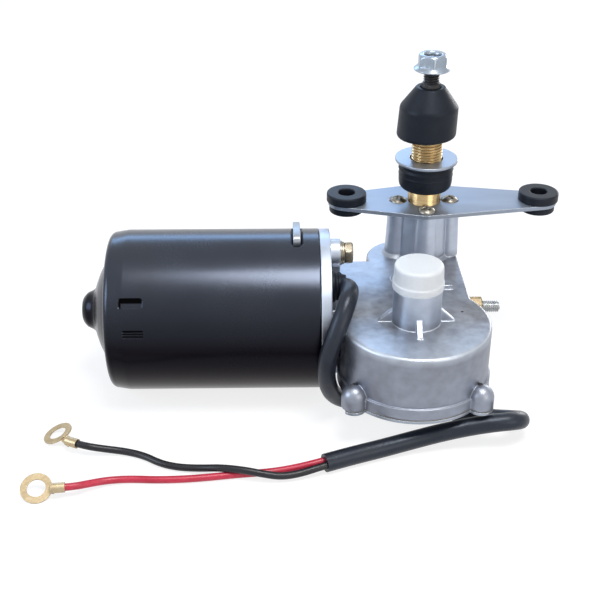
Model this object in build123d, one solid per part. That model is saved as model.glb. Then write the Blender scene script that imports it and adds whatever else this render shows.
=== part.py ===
from build123d import *
from math import acos, atan2, cos, degrees, hypot, pi, radians, sin, sqrt, tan
import os

# A single-arm wiper drive: permanent-magnet motor, worm gearbox with a crank and
# rocker inside, and a spindle standing in a threaded sleeve above a mounting plate.
# Millimetres.  The origin lies on the spindle's axis in the plate's top face,
# +X runs along the motor from can to gearbox end, +Z runs up the spindle.

os.makedirs("parts", exist_ok=True)

# Shared fits and clearances
RUN_FIT = 0.04
LOOSE_FIT = 0.3
SCREW_FIT = 0.05

# Motor line and gearbox levels
AXIS_Y = -36.4
AXIS_Z = -42.9
PLATE_T = 2.0
CASE_TOP = -30.5
CASE_FOOT = -62.7
CASE_WALL = 3.0
ROOF = CASE_TOP - CASE_WALL
LIP_TOP = -57.0
LIP_OUT = 1.0
GASKET_T = 0.5
COVER_T = 1.5

# Mounting plate and its rubber grommets
HOLE_LEFT_X = -40.0
HOLE_RIGHT_X = 59.0
PLATE_END_R = 9.3
PLATE_SHOULDER_R = 12.0
PLATE_SHOULDER_Y = 8.0
GROMMET_R = 10.2
GROMMET_TOP = 4.5
GROMMET_HOLE_R = 4.25
GROMMET_NECK_R = 6.5
GROMMET_LOW_R = 8.8
GROMMET_LOW = 3.8

# Four screws hold the plate on the column
PLATE_SCREW_RING = 13.3
PLATE_SCREW_R = 2.5
PLATE_HEAD_R = 4.8
PLATE_HEAD_DOME = 1.5
PLATE_SCREW_LEN = 16.0

# Column cast on the gear housing
COLUMN_TOP_R = 18.2
COLUMN_FOOT_R = 19.35
COLUMN_CORE_TOP_R = 12.0
COLUMN_CORE_FOOT_R = 13.0
COLUMN_FILLET = 1.6

# Spindle sleeve, rubber bush, washer, nut and cap
SLEEVE_R = 8.4
SLEEVE_COLLAR_TOP = 7.5
SLEEVE_THREAD_R = 7.1
SLEEVE_TOP = 46.0
SLEEVE_FOOT = -36.0
SLEEVE_SEAT_LOW_R = 6.4
SLEEVE_SEAT_HIGH_R = 6.1
SPINDLE_BUSH_LEN = 14.0
BUSH_TOP = 21.9
BUSH_R = 13.65
BUSH_FOOT_R = 11.8
BUSH_RIDGE_Z = 18.0
WASHER_R = 15.85
WASHER_T = 1.5
WASHER_HOLE_R = 8.3
CAP_FOOT = 35.0
CAP_R = 14.8
CAP_CORNER_Z = 50.5
CAP_TOP = 60.65
CAP_TOP_R = 7.3
CAP_WALL = 1.9
NUT_FOOT = 36.5
NUT_H = 8.0
NUT_FLATS = 21.5

# Spindle
SPINDLE_R = 5.0
SPINDLE_COLLAR_R = 8.0
SPINDLE_TAPER_FOOT = 57.5
SPINDLE_TAPER_TOP = 62.4
SPINDLE_RELIEF_R = 3.7
SPINDLE_NECK_FOOT = 63.0
SPINDLE_NECK_R = 4.2
SPINDLE_TIP = 75.6
SPINDLE_THREAD_R = 3.94
SPINDLE_NECK_GAP = 0.1
SPINDLE_SPIGOT_R = 4.0
ARM_NUT_FOOT = 68.9
ARM_NUT_FLANGE_R = 8.95
ARM_NUT_FLATS = 13.0
ARM_NUT_H = 8.0
ARM_NUT_FLANGE_T = 1.7

# Gear housing outline
WHEEL_X = -10.2
WHEEL_Y = -70.4
CHAMBER_R = 35.9
RIGHT_WALL_X = 19.2
NECK_REAR_Y = -8.7
NECK_FRONT_Y = -61.0
LOBE_X = -9.5
LOBE_Y = -4.5
LOBE_R = 19.5
CAVITY_LEFT_X = -43.0
COVER_LEFT_X = -44.6
EAR_R = 6.0
EAR_FLAT_TOP = -57.8
EAR_STEP = 2.5
EAR_LEFT_ANGLE = -141.8
EAR_RIGHT_ANGLE = -40.1
EAR_LOBE_ANGLE = 125.0
EAR_REAR_ANGLE = 54.0
COVER_SCREW_R = 2.0

# Wheel-shaft boss, its gussets and plastic cap
BOSS_R = 11.6
BOSS_SHOULDER = -12.4
BOSS_NECK_R = 10.4
BOSS_TOP = -8.0
GUSSET_REACH = 18.0
GUSSET_H = 7.3
GUSSET_T = 2.6
BOSS_CAP_TOP = -0.3
BOSS_CAP_RIM_R = 12.2
BOSS_CAP_WALL = 1.2

# Motor can and its parts
CAN_R = 40.1
CAN_WALL = 1.6
CAN_OPEN_X = -55.0
CAN_END_X = -158.5
CAN_CORNER_LONG = 10.0
CAN_CORNER_DEEP = 6.0
FLANGE_X = -50.0
FLANGE_INSET = 0.1
PAD_X = -45.0
SPIGOT_X = -57.5
BOLT_INSET = 9.1
BOLT_R = 3.0
BOLT_FLATS = 10.0
BOLT_HEAD_T = 4.3
BOLT_WASHER_T = 2.0
BOLT_WASHER_R = 6.2
BOLT_TIP_X = -62.0
SHIELD_T = 3.5
CARD_T = 2.0
CARD_EDGE_GAP = 3.5
CARD_HOLE_R = 14.0
MAGNET_T = 7.2
MAGNET_END_GAP = 10.5
MAGNET_X1 = -84.0
MAGNET_HALF_ANGLE = 62.0

# Rotor
SHAFT_R = 4.0
SHAFT_IN_CUP = 11.0
AIR_GAP = 0.9
CORE_INSET = 8.0
SLOT_COUNT = 12
SLOT_W = 5.0
SLOT_MOUTH_W = 2.2
SLOT_IN_R = 14.5
SLOT_LIP = 2.4
WINDING_OVERHANG = 10.0
COMMUTATOR_R = 11.0
COMMUTATOR_X0 = -78.0
COMMUTATOR_X1 = -65.0
BRUSH_W = 6.0
BRUSH_T = 8.0
BRUSH_LEN = 13.0

# Worm gear
TEETH = 50
PRESSURE_ANGLE = 20.0
WHEEL_PITCH_R = 27.5
TOOTH_T = 1.5
WHEEL_ROOT_R = 26.1
WHEEL_TIP_R = 28.6
WORM_ROOT_R = 5.1
WORM_TIP_R = 7.6
WORM_TURNS = 7.5
WHEEL_TOP = -38.4
WHEEL_T = 9.0
WHEEL_HUB_R = 13.0
WHEEL_SHAFT_R = 5.0

# Crank, rod and rocker
ROCKER_R = 10.5
SWING = 106.0
ROCKER_HUB_R = 7.6
PIN_R = 3.0
EYE_R = 5.5
ROD_W = 7.0
ROD_T = 4.0
ROD_TOP = -51.5
ARM_T = 3.6
LINK_GAP = 0.4
OPEN_PIVOT_GAP = 0.3

# Thrust end of the worm shaft
END_BUSH_X0 = 5.0
END_BUSH_X1 = 11.0
THRUST_SCREW_X0 = 14.0
THRUST_SCREW_X1 = 36.3
THRUST_SCREW_R = 3.0
LOCK_NUT_X0 = 20.2
LOCK_NUT_X1 = 27.3

# Cable, wires and terminals
FLOOR_Z = AXIS_Z - CAN_R
CABLE_R = 4.35
WIRE_R = 1.7
CABLE_BORE_R = 3.6
CABLE_BORE_DEPTH = 7.0
CABLE_Z = FLOOR_Z + CABLE_R + 0.03
WIRE_Z = FLOOR_Z + WIRE_R + 0.03
TERMINAL_R = 7.2
TERMINAL_HOLE_R = 4.2
TERMINAL_T = 0.8
TERMINAL_NECK_W = 4.0
BARREL_R = 2.3
BARREL_LEN = 6.0
BARREL_GRIP = 3.4
GROMMET_Y = -55.0
GROMMET_Z = -20.5

# Recesses pressed in the can: X range and angle range, seen up from the front
SLOT_DEPTH = 0.9
UPPER_SLOT = (-150.8, -139.3, 29.9, 37.1)
LOUVRE_X0 = -149.0
LOUVRE_X1 = -139.2
LOUVRE_ANGLES = (9.4, 11.5, 13.6)
LOUVRE_W = 1.4
LUG_X0 = -68.0
LUG_X1 = -64.6
LUG_FROM = 79.0
LUG_TO = 111.0
LUG_RISE = 3.7
LUG_ROUND = 2.6
LUG_GAP = 0.7
LUG_DEPTH = 1.0

# Bearing cup drawn in the can's end: distance beyond the end, and radius
CUP_OUTER = [(1.7, 24.0), (3.5, 21.5), (9.0, 11.4), (13.5, 6.3), (15.0, 5.0), (15.0, 0)]
CUP_INNER = [(13.4, 0), (12.8, 4.6), (7.7, 10.2), (2.5, 19.8), (0.3, 23.0)]
REAR_BUSH_OUTER = [(9.5, 6.4), (5.0, 8.8), (0.5, 8.8), (0.5, 0), (9.5, 0)]
RETAINER = [(0.4, 7.0), (0.4, 20.0), (-0.9, 21.0), (-1.7, 21.0), (-0.5, 7.0)]

# Sizes that follow from the ones above
MODULE = 2 * WHEEL_PITCH_R / TEETH
WORM_PITCH_R = abs(WHEEL_Y - AXIS_Y) - WHEEL_PITCH_R
WORM_LEAD = pi * MODULE
LEAD_SLOPE = WORM_LEAD / (2 * pi * WORM_PITCH_R)
WHEEL_FOOT = WHEEL_TOP - WHEEL_T
ROD_FOOT = ROD_TOP - ROD_T
ARM_FOOT = ROD_TOP + LINK_GAP
ARM_TOP = ARM_FOOT + ARM_T
CAN_IN_R = CAN_R - CAN_WALL
FLANGE_R = CAN_R - FLANGE_INSET
BOLT_RING = CAN_R - BOLT_INSET
MAGNET_IN_R = CAN_IN_R - MAGNET_T
MAGNET_X0 = CAN_END_X + MAGNET_END_GAP
CORE_R = MAGNET_IN_R - AIR_GAP
CORE_X0 = MAGNET_X0 + CORE_INSET
CORE_X1 = MAGNET_X1 - CORE_INSET
SLOT_OUT_R = CORE_R - SLOT_LIP
SHAFT_LEFT_X = CAN_END_X - SHAFT_IN_CUP
SPINDLE_NECK_TOP = ARM_NUT_FOOT - SPINDLE_NECK_GAP
CENTRES = hypot(WHEEL_X, WHEEL_Y)
WHEEL_DIRECTION = atan2(WHEEL_Y, WHEEL_X)


def pin_distance(angle_deg):
    """Wheel axis to rocker pin, the rocker turned by this angle from the wheel."""
    return sqrt(CENTRES ** 2 + ROCKER_R ** 2 - 2 * CENTRES * ROCKER_R * cos(radians(angle_deg)))


FAR = pin_distance(90 + SWING / 2)
NEAR = pin_distance(90 - SWING / 2)
CRANK_R = (FAR - NEAR) / 2
ROD_LENGTH = (FAR + NEAR) / 2
ROCKER_PIN = (
    ROCKER_R * cos(WHEEL_DIRECTION - pi / 2),
    ROCKER_R * sin(WHEEL_DIRECTION - pi / 2),
)


def crank_pin_place():
    """Where the crank pin stands when the rocker is in the middle of its swing."""
    across = ROCKER_PIN[0] - WHEEL_X
    along = ROCKER_PIN[1] - WHEEL_Y
    span = hypot(across, along)
    turn = acos((span ** 2 + CRANK_R ** 2 - ROD_LENGTH ** 2) / (2 * span * CRANK_R))
    heading = atan2(along, across) + turn
    return (WHEEL_X + CRANK_R * cos(heading), WHEEL_Y + CRANK_R * sin(heading))


CRANK_PIN = crank_pin_place()


def around(x, y, r, angle_deg):
    """Point at a radius and an angle round a centre."""
    return (x + r * cos(radians(angle_deg)), y + r * sin(radians(angle_deg)))


EAR_PLACES = [
    around(WHEEL_X, WHEEL_Y, CHAMBER_R + EAR_STEP, EAR_LEFT_ANGLE),
    around(WHEEL_X, WHEEL_Y, CHAMBER_R + EAR_STEP, EAR_RIGHT_ANGLE),
    around(LOBE_X, LOBE_Y, LOBE_R + EAR_STEP, EAR_LOBE_ANGLE),
    around(0, 0, RIGHT_WALL_X + EAR_STEP, EAR_REAR_ANGLE),
]


# Small makers used by every sub-part

def save(node, shape):
    """Write one named part."""
    export_step(shape, f"parts/{node}.step")


def upright(x, y, z0, z1, r):
    """Vertical cylinder between two heights."""
    return Pos(x, y, (z0 + z1) / 2) * Cylinder(r, abs(z1 - z0))


def lying(x0, x1, r, y=AXIS_Y, z=AXIS_Z):
    """Cylinder along X, on the motor axis unless another line is given."""
    return Pos((x0 + x1) / 2, y, z) * Rot(0, 90, 0) * Cylinder(r, abs(x1 - x0))


def block(x0, x1, y0, y1, z0, z1):
    """Box between two corners."""
    return Pos((x0 + x1) / 2, (y0 + y1) / 2, (z0 + z1) / 2) * Box(
        abs(x1 - x0), abs(y1 - y0), abs(z1 - z0)
    )


def patch(x0, x1, y0, y1):
    """Flat rectangle between two corners."""
    return Pos((x0 + x1) / 2, (y0 + y1) / 2) * Rectangle(abs(x1 - x0), abs(y1 - y0))


def turned(points, x=0.0, y=0.0):
    """Solid of revolution about a vertical line from (radius, height) points."""
    face = Plane.XZ * make_face(Polyline(*points, close=True))
    return Pos(x, y, 0) * revolve(face, Axis.Z)


def spun(points, y=AXIS_Y, z=AXIS_Z):
    """Solid of revolution about a line along X from (x, radius) points."""
    face = Plane.XZ * make_face(Polyline(*points, close=True))
    return Pos(0, y, z) * revolve(face, Axis.X)


def prism(sketch, z0, z1):
    """Extrude a flat sketch between two heights."""
    return Pos(0, 0, z0) * extrude(sketch, z1 - z0, dir=(0, 0, 1))


def hexagon(flats, angle=0.0):
    """Flat hexagon of a size across flats."""
    return Rot(0, 0, angle) * RegularPolygon(flats / 2, 6, major_radius=False)


def lying_hex(x0, x1, flats, y, z, angle=0.0):
    """Hexagonal bar along X."""
    return Pos(x0, y, z) * Rot(0, 90, 0) * extrude(hexagon(flats, angle), x1 - x0)


def group(*solids):
    """Several separate solids kept as one part."""
    return Compound(children=list(solids))


# Gear housing

def case_outline(grow=0.0):
    """Plan of the housing: chamber round the wheel, neck to the motor, rear lobe."""
    rear = make_hull(
        (Circle(RIGHT_WALL_X + grow) + Pos(LOBE_X, LOBE_Y) * Circle(LOBE_R + grow)).edges()
    )
    plan = rear + Pos(WHEEL_X, WHEEL_Y) * Circle(CHAMBER_R + grow)
    plan += patch(FLANGE_X, 0, NECK_FRONT_Y, NECK_REAR_Y + grow)
    plan += patch(WHEEL_X, RIGHT_WALL_X + grow, NECK_FRONT_Y, 0)
    return plan


def cavity_outline():
    """Plan of the hollow, one wall inside the housing."""
    rear = make_hull(
        (
            Circle(RIGHT_WALL_X - CASE_WALL + 0.6)
            + Pos(LOBE_X, LOBE_Y) * Circle(LOBE_R - CASE_WALL)
        ).edges()
    )
    plan = rear + Pos(WHEEL_X, WHEEL_Y) * Circle(CHAMBER_R - CASE_WALL)
    plan += patch(CAVITY_LEFT_X, 0, NECK_FRONT_Y + CASE_WALL, NECK_REAR_Y - CASE_WALL)
    plan += patch(WHEEL_X, RIGHT_WALL_X - CASE_WALL, NECK_FRONT_Y, 0)
    return plan


def column():
    """Fluted column: four screw bosses round a core, drafted, with a foot fillet."""
    foot = CASE_TOP
    top = -PLATE_T
    lobe_top = COLUMN_TOP_R - PLATE_SCREW_RING
    lobe_foot = COLUMN_FOOT_R - PLATE_SCREW_RING
    tall = top - foot
    shape = Pos(0, 0, foot + tall / 2) * Cone(COLUMN_CORE_FOOT_R, COLUMN_CORE_TOP_R, tall)
    shape += Pos(0, 0, foot + COLUMN_FILLET / 2) * Cone(
        COLUMN_CORE_FOOT_R + COLUMN_FILLET, COLUMN_CORE_FOOT_R, COLUMN_FILLET
    )
    for angle in (0, 90, 180, 270):
        lobe = Pos(0, 0, foot + tall / 2) * Cone(lobe_foot, lobe_top, tall)
        if angle != 0 and angle != 90:
            lobe += Pos(0, 0, foot + COLUMN_FILLET / 2) * Cone(
                lobe_foot + COLUMN_FILLET, lobe_foot, COLUMN_FILLET
            )
        shape += Rot(0, 0, angle) * Pos(PLATE_SCREW_RING, 0, 0) * lobe
    return shape


def wheel_boss():
    """Tall boss over the wheel shaft with four triangular gussets."""
    shape = upright(WHEEL_X, WHEEL_Y, CASE_TOP, BOSS_SHOULDER, BOSS_R)
    shape += upright(WHEEL_X, WHEEL_Y, BOSS_SHOULDER, BOSS_TOP, BOSS_NECK_R)
    side = Plane.XZ * make_face(
        Polyline(
            (BOSS_R - 1.0, CASE_TOP - 0.2),
            (GUSSET_REACH, CASE_TOP - 0.2),
            (GUSSET_REACH, CASE_TOP + 0.6),
            (BOSS_R - 1.0, CASE_TOP + GUSSET_H),
            close=True,
        )
    )
    rib = extrude(side, GUSSET_T / 2, both=True)
    for angle in (0, 90, 180, 270):
        shape += Pos(WHEEL_X, WHEEL_Y, 0) * Rot(0, 0, angle) * rib
    return shape


def ears():
    """Domed screw ears standing on the foot of the housing."""
    shape = Part()
    for x, y in EAR_PLACES:
        inward_x = 0.0 if y > 0 else WHEEL_X
        inward_y = 0.0 if y > 0 else WHEEL_Y
        reach = hypot(inward_x - x, inward_y - y)
        web = Pos(x, y, 0) * Rot(0, 0, degrees(atan2(inward_y - y, inward_x - x))) * block(
            0, min(reach, 8.0), -EAR_R, EAR_R, CASE_FOOT, EAR_FLAT_TOP
        )
        dome = Pos(x, y, EAR_FLAT_TOP) * Sphere(EAR_R)
        dome -= block(x - 9, x + 9, y - 9, y + 9, CASE_FOOT - 9, CASE_FOOT)
        shape += upright(x, y, CASE_FOOT, EAR_FLAT_TOP, EAR_R) + web + dome
    return shape


def motor_flange():
    """Round flange for the can, its spigot and the two bolt pads."""
    shape = lying(CAN_OPEN_X, FLANGE_X, FLANGE_R)
    shape += lying(SPIGOT_X, CAN_OPEN_X, CAN_IN_R - SCREW_FIT)
    for side in (1, -1):
        z = AXIS_Z + side * BOLT_RING
        shape += lying(FLANGE_X, PAD_X, BOLT_WASHER_R + 0.8, AXIS_Y, z)
        shape += block(FLANGE_X, PAD_X, AXIS_Y - 5, AXIS_Y + 5, z, AXIS_Z + side * 15)
    return shape


def gear_housing():
    """Die-cast housing: shell, column, boss, flange, then every bore."""
    shell = prism(case_outline(), CASE_FOOT, CASE_TOP)
    rim = shell.edges().group_by(Axis.Z)[-1]
    shell = fillet(rim, 1.6)
    shell += prism(case_outline(LIP_OUT), CASE_FOOT, LIP_TOP) & block(
        FLANGE_X, 60, -120, 40, CASE_FOOT, LIP_TOP
    )
    shell += ears()
    shell += column()
    shell += wheel_boss()
    shell += motor_flange()
    shell -= prism(cavity_outline(), CASE_FOOT - 1, ROOF)
    inner = upright(0, 0, SLEEVE_FOOT, ROOF + 1, 11.0)
    inner += upright(WHEEL_X, WHEEL_Y, SLEEVE_FOOT, ROOF + 1, 11.0)
    inner += lying(END_BUSH_X0, RIGHT_WALL_X - 1, 9.3)
    shell += inner
    shell += lying(RIGHT_WALL_X - 0.5, LOCK_NUT_X0, 7.2)
    shell -= upright(0, 0, SLEEVE_FOOT - 1, 1, SLEEVE_R)
    shell -= upright(WHEEL_X, WHEEL_Y, SLEEVE_FOOT - 1, 1, 7.5)
    for angle in (0, 90, 180, 270):
        shell -= Rot(0, 0, angle) * upright(
            PLATE_SCREW_RING, 0, -PLATE_SCREW_LEN - 3, 0, PLATE_SCREW_R + SCREW_FIT
        )
    for x, y in EAR_PLACES:
        shell -= upright(x, y, CASE_FOOT - 1, CASE_FOOT + 6.5, COVER_SCREW_R + SCREW_FIT)
    shell -= lying(SPIGOT_X - 1, CAVITY_LEFT_X + 1, 5.0)
    shell -= lying(SPIGOT_X - 1, CAVITY_LEFT_X - 1.5, 8.0)
    shell -= lying(END_BUSH_X0 - 1, END_BUSH_X1, 7.0)
    shell -= lying(END_BUSH_X1 - 1, THRUST_SCREW_X0, 4.3)
    shell -= lying(THRUST_SCREW_X0 - 1, LOCK_NUT_X0 + 1, THRUST_SCREW_R + SCREW_FIT)
    for side in (1, -1):
        shell -= lying(
            SPIGOT_X - 1, PAD_X + 1, BOLT_R + SCREW_FIT, AXIS_Y, AXIS_Z + side * BOLT_RING
        )
    shell -= lying(SPIGOT_X - 1, FLANGE_X + 1, CABLE_R + SCREW_FIT, GROMMET_Y, GROMMET_Z)
    return shell


def cover_plan():
    """Plan of the cover and its gasket, ears included."""
    plan = case_outline(LIP_OUT)
    for x, y in EAR_PLACES:
        plan += Pos(x, y) * Circle(EAR_R)
    plan -= patch(2 * FLANGE_X, COVER_LEFT_X, 2 * WHEEL_Y, -WHEEL_Y)
    return plan


def cover_gasket():
    """Thin seal between housing and cover, cut out over the hollow."""
    plan = cover_plan() - cavity_outline()
    for x, y in EAR_PLACES:
        plan -= Pos(x, y) * Circle(COVER_SCREW_R + LOOSE_FIT)
    return prism(plan, CASE_FOOT - GASKET_T, CASE_FOOT)


def cover_plate():
    """Steel cover closing the gearbox from below."""
    foot = CASE_FOOT - GASKET_T - COVER_T
    shape = prism(cover_plan(), foot, CASE_FOOT - GASKET_T)
    for x, y in EAR_PLACES:
        shape -= upright(x, y, foot - 1, CASE_FOOT, COVER_SCREW_R + LOOSE_FIT)
    return shape


def cover_screws():
    """Pan-head screws driven up into the ears."""
    foot = CASE_FOOT - GASKET_T - COVER_T
    made = []
    for x, y in EAR_PLACES:
        made.append(
            turned(
                [
                    (0, foot - 2.2),
                    (2.9, foot - 2.2),
                    (3.7, foot - 1.3),
                    (3.7, foot),
                    (COVER_SCREW_R, foot),
                    (COVER_SCREW_R, CASE_FOOT + 6.0),
                    (0, CASE_FOOT + 6.0),
                ],
                x,
                y,
            )
        )
    return group(*made)


# Mounting plate

def screw_profile():
    """Half section of a raised countersunk screw, on its own axis."""
    return [
        (0, -PLATE_SCREW_LEN),
        (PLATE_SCREW_R, -PLATE_SCREW_LEN),
        (PLATE_SCREW_R, -PLATE_T),
        (PLATE_HEAD_R, -0.1),
        (PLATE_HEAD_R, 0.35),
        (PLATE_HEAD_R * 0.78, 0.95),
        (PLATE_HEAD_R * 0.45, 1.35),
        (0, PLATE_HEAD_DOME),
    ]


def plate_screws():
    """Four screws round the sleeve."""
    return group(
        *[
            Rot(0, 0, angle) * turned(screw_profile(), PLATE_SCREW_RING, 0)
            for angle in (0, 90, 180, 270)
        ]
    )


def mounting_plate():
    """Long lozenge plate with a grommet hole at each end."""
    ends = Pos(HOLE_LEFT_X, 0) * Circle(PLATE_END_R)
    ends += Pos(HOLE_RIGHT_X, 0) * Circle(PLATE_END_R)
    for side in (1, -1):
        ends += Pos(0, side * PLATE_SHOULDER_Y) * Circle(PLATE_SHOULDER_R)
    plan = make_hull(ends.edges())
    plan -= Circle(SLEEVE_R + SCREW_FIT)
    plan -= Pos(HOLE_LEFT_X, 0) * Circle(GROMMET_NECK_R)
    plan -= Pos(HOLE_RIGHT_X, 0) * Circle(GROMMET_NECK_R)
    shape = prism(plan, -PLATE_T, 0)
    for angle in (0, 90, 180, 270):
        shape -= Rot(0, 0, angle) * turned(screw_profile(), PLATE_SCREW_RING, 0)
    return shape


def plate_grommets():
    """Rubber grommets that carry the fixing screws of the vehicle."""
    profile = [
        (GROMMET_HOLE_R, -PLATE_T - GROMMET_LOW),
        (GROMMET_LOW_R - 0.7, -PLATE_T - GROMMET_LOW),
        (GROMMET_LOW_R, -PLATE_T - GROMMET_LOW + 0.7),
        (GROMMET_LOW_R, -PLATE_T),
        (GROMMET_NECK_R, -PLATE_T),
        (GROMMET_NECK_R, 0),
        (GROMMET_R, 0),
        (GROMMET_R, GROMMET_TOP - 1.2),
        (GROMMET_R - 0.4, GROMMET_TOP - 0.4),
        (GROMMET_R - 1.3, GROMMET_TOP),
        (GROMMET_HOLE_R, GROMMET_TOP),
    ]
    return group(turned(profile, HOLE_LEFT_X, 0), turned(profile, HOLE_RIGHT_X, 0))


# Spindle stack

def spindle_sleeve():
    """Brass sleeve pressed in the column, threaded above its collar."""
    bore = SPINDLE_R + 0.5
    low_seat = SLEEVE_FOOT + SPINDLE_BUSH_LEN
    high_seat = SLEEVE_TOP - SPINDLE_BUSH_LEN
    return turned(
        [
            (SLEEVE_SEAT_LOW_R, SLEEVE_FOOT),
            (SLEEVE_R, SLEEVE_FOOT),
            (SLEEVE_R, SLEEVE_COLLAR_TOP),
            (SLEEVE_THREAD_R, SLEEVE_COLLAR_TOP),
            (SLEEVE_THREAD_R, SLEEVE_TOP - 1.0),
            (SLEEVE_THREAD_R - 0.7, SLEEVE_TOP),
            (SLEEVE_SEAT_HIGH_R, SLEEVE_TOP),
            (SLEEVE_SEAT_HIGH_R, high_seat),
            (bore, high_seat),
            (bore, low_seat),
            (SLEEVE_SEAT_LOW_R, low_seat),
        ]
    )


def spindle_bushes():
    """Sintered bearings at both ends of the sleeve."""
    bore = SPINDLE_R + RUN_FIT
    low_end = SLEEVE_FOOT + SPINDLE_BUSH_LEN
    high_end = SLEEVE_TOP - SPINDLE_BUSH_LEN
    low = upright(0, 0, SLEEVE_FOOT, low_end, SLEEVE_SEAT_LOW_R)
    low -= upright(0, 0, SLEEVE_FOOT - 1, low_end + 1, bore)
    high = upright(0, 0, high_end, SLEEVE_TOP, SLEEVE_SEAT_HIGH_R)
    high -= upright(0, 0, high_end - 1, SLEEVE_TOP + 1, bore)
    return group(low, high)


def panel_bush():
    """Rubber bush under the vehicle panel, with a raised ring near its top."""
    return turned(
        [
            (SLEEVE_THREAD_R, SLEEVE_COLLAR_TOP),
            (BUSH_FOOT_R, SLEEVE_COLLAR_TOP),
            (BUSH_R - 0.5, SLEEVE_COLLAR_TOP + 1.0),
            (BUSH_R, SLEEVE_COLLAR_TOP + 2.2),
            (BUSH_R, BUSH_RIDGE_Z - 0.5),
            (BUSH_R + 0.35, BUSH_RIDGE_Z),
            (BUSH_R, BUSH_RIDGE_Z + 0.5),
            (BUSH_R, BUSH_TOP - 0.4),
            (BUSH_R - 0.4, BUSH_TOP),
            (SLEEVE_THREAD_R, BUSH_TOP),
        ]
    )


def panel_washer():
    """Plain washer on the rubber bush."""
    shape = upright(0, 0, BUSH_TOP, BUSH_TOP + WASHER_T, WASHER_R)
    shape -= upright(0, 0, BUSH_TOP - 1, BUSH_TOP + WASHER_T + 1, WASHER_HOLE_R)
    return chamfer(shape.edges().group_by(Axis.Z)[-1].sort_by(SortBy.RADIUS)[-1], 0.3)


def sleeve_nut():
    """Thin hexagon nut hidden in the rubber cap."""
    shape = prism(hexagon(NUT_FLATS, 30), NUT_FOOT, NUT_FOOT + NUT_H)
    return shape - upright(0, 0, NUT_FOOT - 1, NUT_FOOT + NUT_H + 1, SLEEVE_THREAD_R)


def spindle_cap():
    """Rubber cap over nut and sleeve, coned to the spindle."""
    inner = NUT_FLATS / 2 / cos(radians(30)) + 0.1
    return turned(
        [
            (inner, CAP_FOOT),
            (CAP_R - 0.9, CAP_FOOT),
            (CAP_R - 0.25, CAP_FOOT + 0.35),
            (CAP_R, CAP_FOOT + 1.1),
            (CAP_R - 0.1, CAP_CORNER_Z - 0.4),
            (CAP_R - 0.5, CAP_CORNER_Z + 0.2),
            (CAP_TOP_R + 0.3, CAP_TOP - 0.4),
            (CAP_TOP_R - 0.2, CAP_TOP),
            (SPINDLE_R + LOOSE_FIT, CAP_TOP),
            (SPINDLE_R + LOOSE_FIT, CAP_TOP - CAP_WALL),
            (inner, CAP_CORNER_Z - CAP_WALL),
        ]
    )


def spindle_shaft():
    """Spindle with a foot collar, a serrated taper and a threaded end."""
    return turned(
        [
            (0, ARM_FOOT),
            (SPINDLE_SPIGOT_R, ARM_FOOT),
            (SPINDLE_SPIGOT_R, ARM_TOP),
            (SPINDLE_COLLAR_R, ARM_TOP),
            (SPINDLE_COLLAR_R, SLEEVE_FOOT - LINK_GAP),
            (SPINDLE_R, SLEEVE_FOOT - LINK_GAP),
            (SPINDLE_R, SLEEVE_TOP + LOOSE_FIT),
            (SPINDLE_R - 0.4, SLEEVE_TOP + LOOSE_FIT),
            (SPINDLE_R - 0.4, SLEEVE_TOP + LOOSE_FIT + 1.0),
            (SPINDLE_R, SLEEVE_TOP + LOOSE_FIT + 1.0),
            (SPINDLE_R, SPINDLE_TAPER_FOOT + 3.2),
            (SPINDLE_R - 0.5, SPINDLE_TAPER_TOP),
            (SPINDLE_RELIEF_R, SPINDLE_TAPER_TOP),
            (SPINDLE_RELIEF_R, SPINDLE_NECK_FOOT),
            (SPINDLE_NECK_R, SPINDLE_NECK_FOOT),
            (SPINDLE_NECK_R, SPINDLE_NECK_TOP),
            (SPINDLE_THREAD_R, SPINDLE_NECK_TOP),
            (SPINDLE_THREAD_R, SPINDLE_TIP - 0.8),
            (SPINDLE_THREAD_R - 0.7, SPINDLE_TIP),
            (0, SPINDLE_TIP),
        ]
    )


def spindle_clip():
    """Retaining ring above the sleeve, open at one side."""
    z0 = SLEEVE_TOP + LOOSE_FIT
    ring = upright(0, 0, z0, z0 + 1.0, 7.2) - upright(0, 0, z0 - 1, z0 + 2, SPINDLE_R - 0.4)
    return ring - block(0, 10, -1.2, 1.2, z0 - 1, z0 + 2)


def arm_nut():
    """Flange nut that holds the wiper arm on the spindle."""
    foot = ARM_NUT_FOOT
    flange = turned(
        [
            (SPINDLE_THREAD_R + RUN_FIT, foot),
            (ARM_NUT_FLANGE_R - 0.3, foot),
            (ARM_NUT_FLANGE_R, foot + 0.3),
            (ARM_NUT_FLANGE_R, foot + 0.9),
            (ARM_NUT_FLATS / 2 - 0.1, foot + ARM_NUT_FLANGE_T + 0.6),
            (SPINDLE_THREAD_R + RUN_FIT, foot + ARM_NUT_FLANGE_T + 0.6),
        ]
    )
    body = prism(hexagon(ARM_NUT_FLATS, 30), foot + ARM_NUT_FLANGE_T, foot + ARM_NUT_H)
    corner = ARM_NUT_FLATS / 2 / cos(radians(30))
    body &= turned(
        [
            (0, foot),
            (corner + 1, foot),
            (corner + 1, foot + ARM_NUT_H - 0.9),
            (corner - 0.75, foot + ARM_NUT_H),
            (0, foot + ARM_NUT_H),
        ]
    )
    body -= upright(0, 0, foot - 1, foot + 9, SPINDLE_THREAD_R + RUN_FIT)
    return flange + body


# Rocker linkage under the worm

def rocker_arm():
    """Lever riveted on the spindle's foot, carrying the rocker pin."""
    plan = make_hull((Circle(ROCKER_HUB_R) + Pos(*ROCKER_PIN) * Circle(EYE_R - 0.3)).edges())
    plan -= Circle(SPINDLE_SPIGOT_R)
    plan -= Pos(*ROCKER_PIN) * Circle(PIN_R)
    return prism(plan, ARM_FOOT, ARM_TOP)


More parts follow.
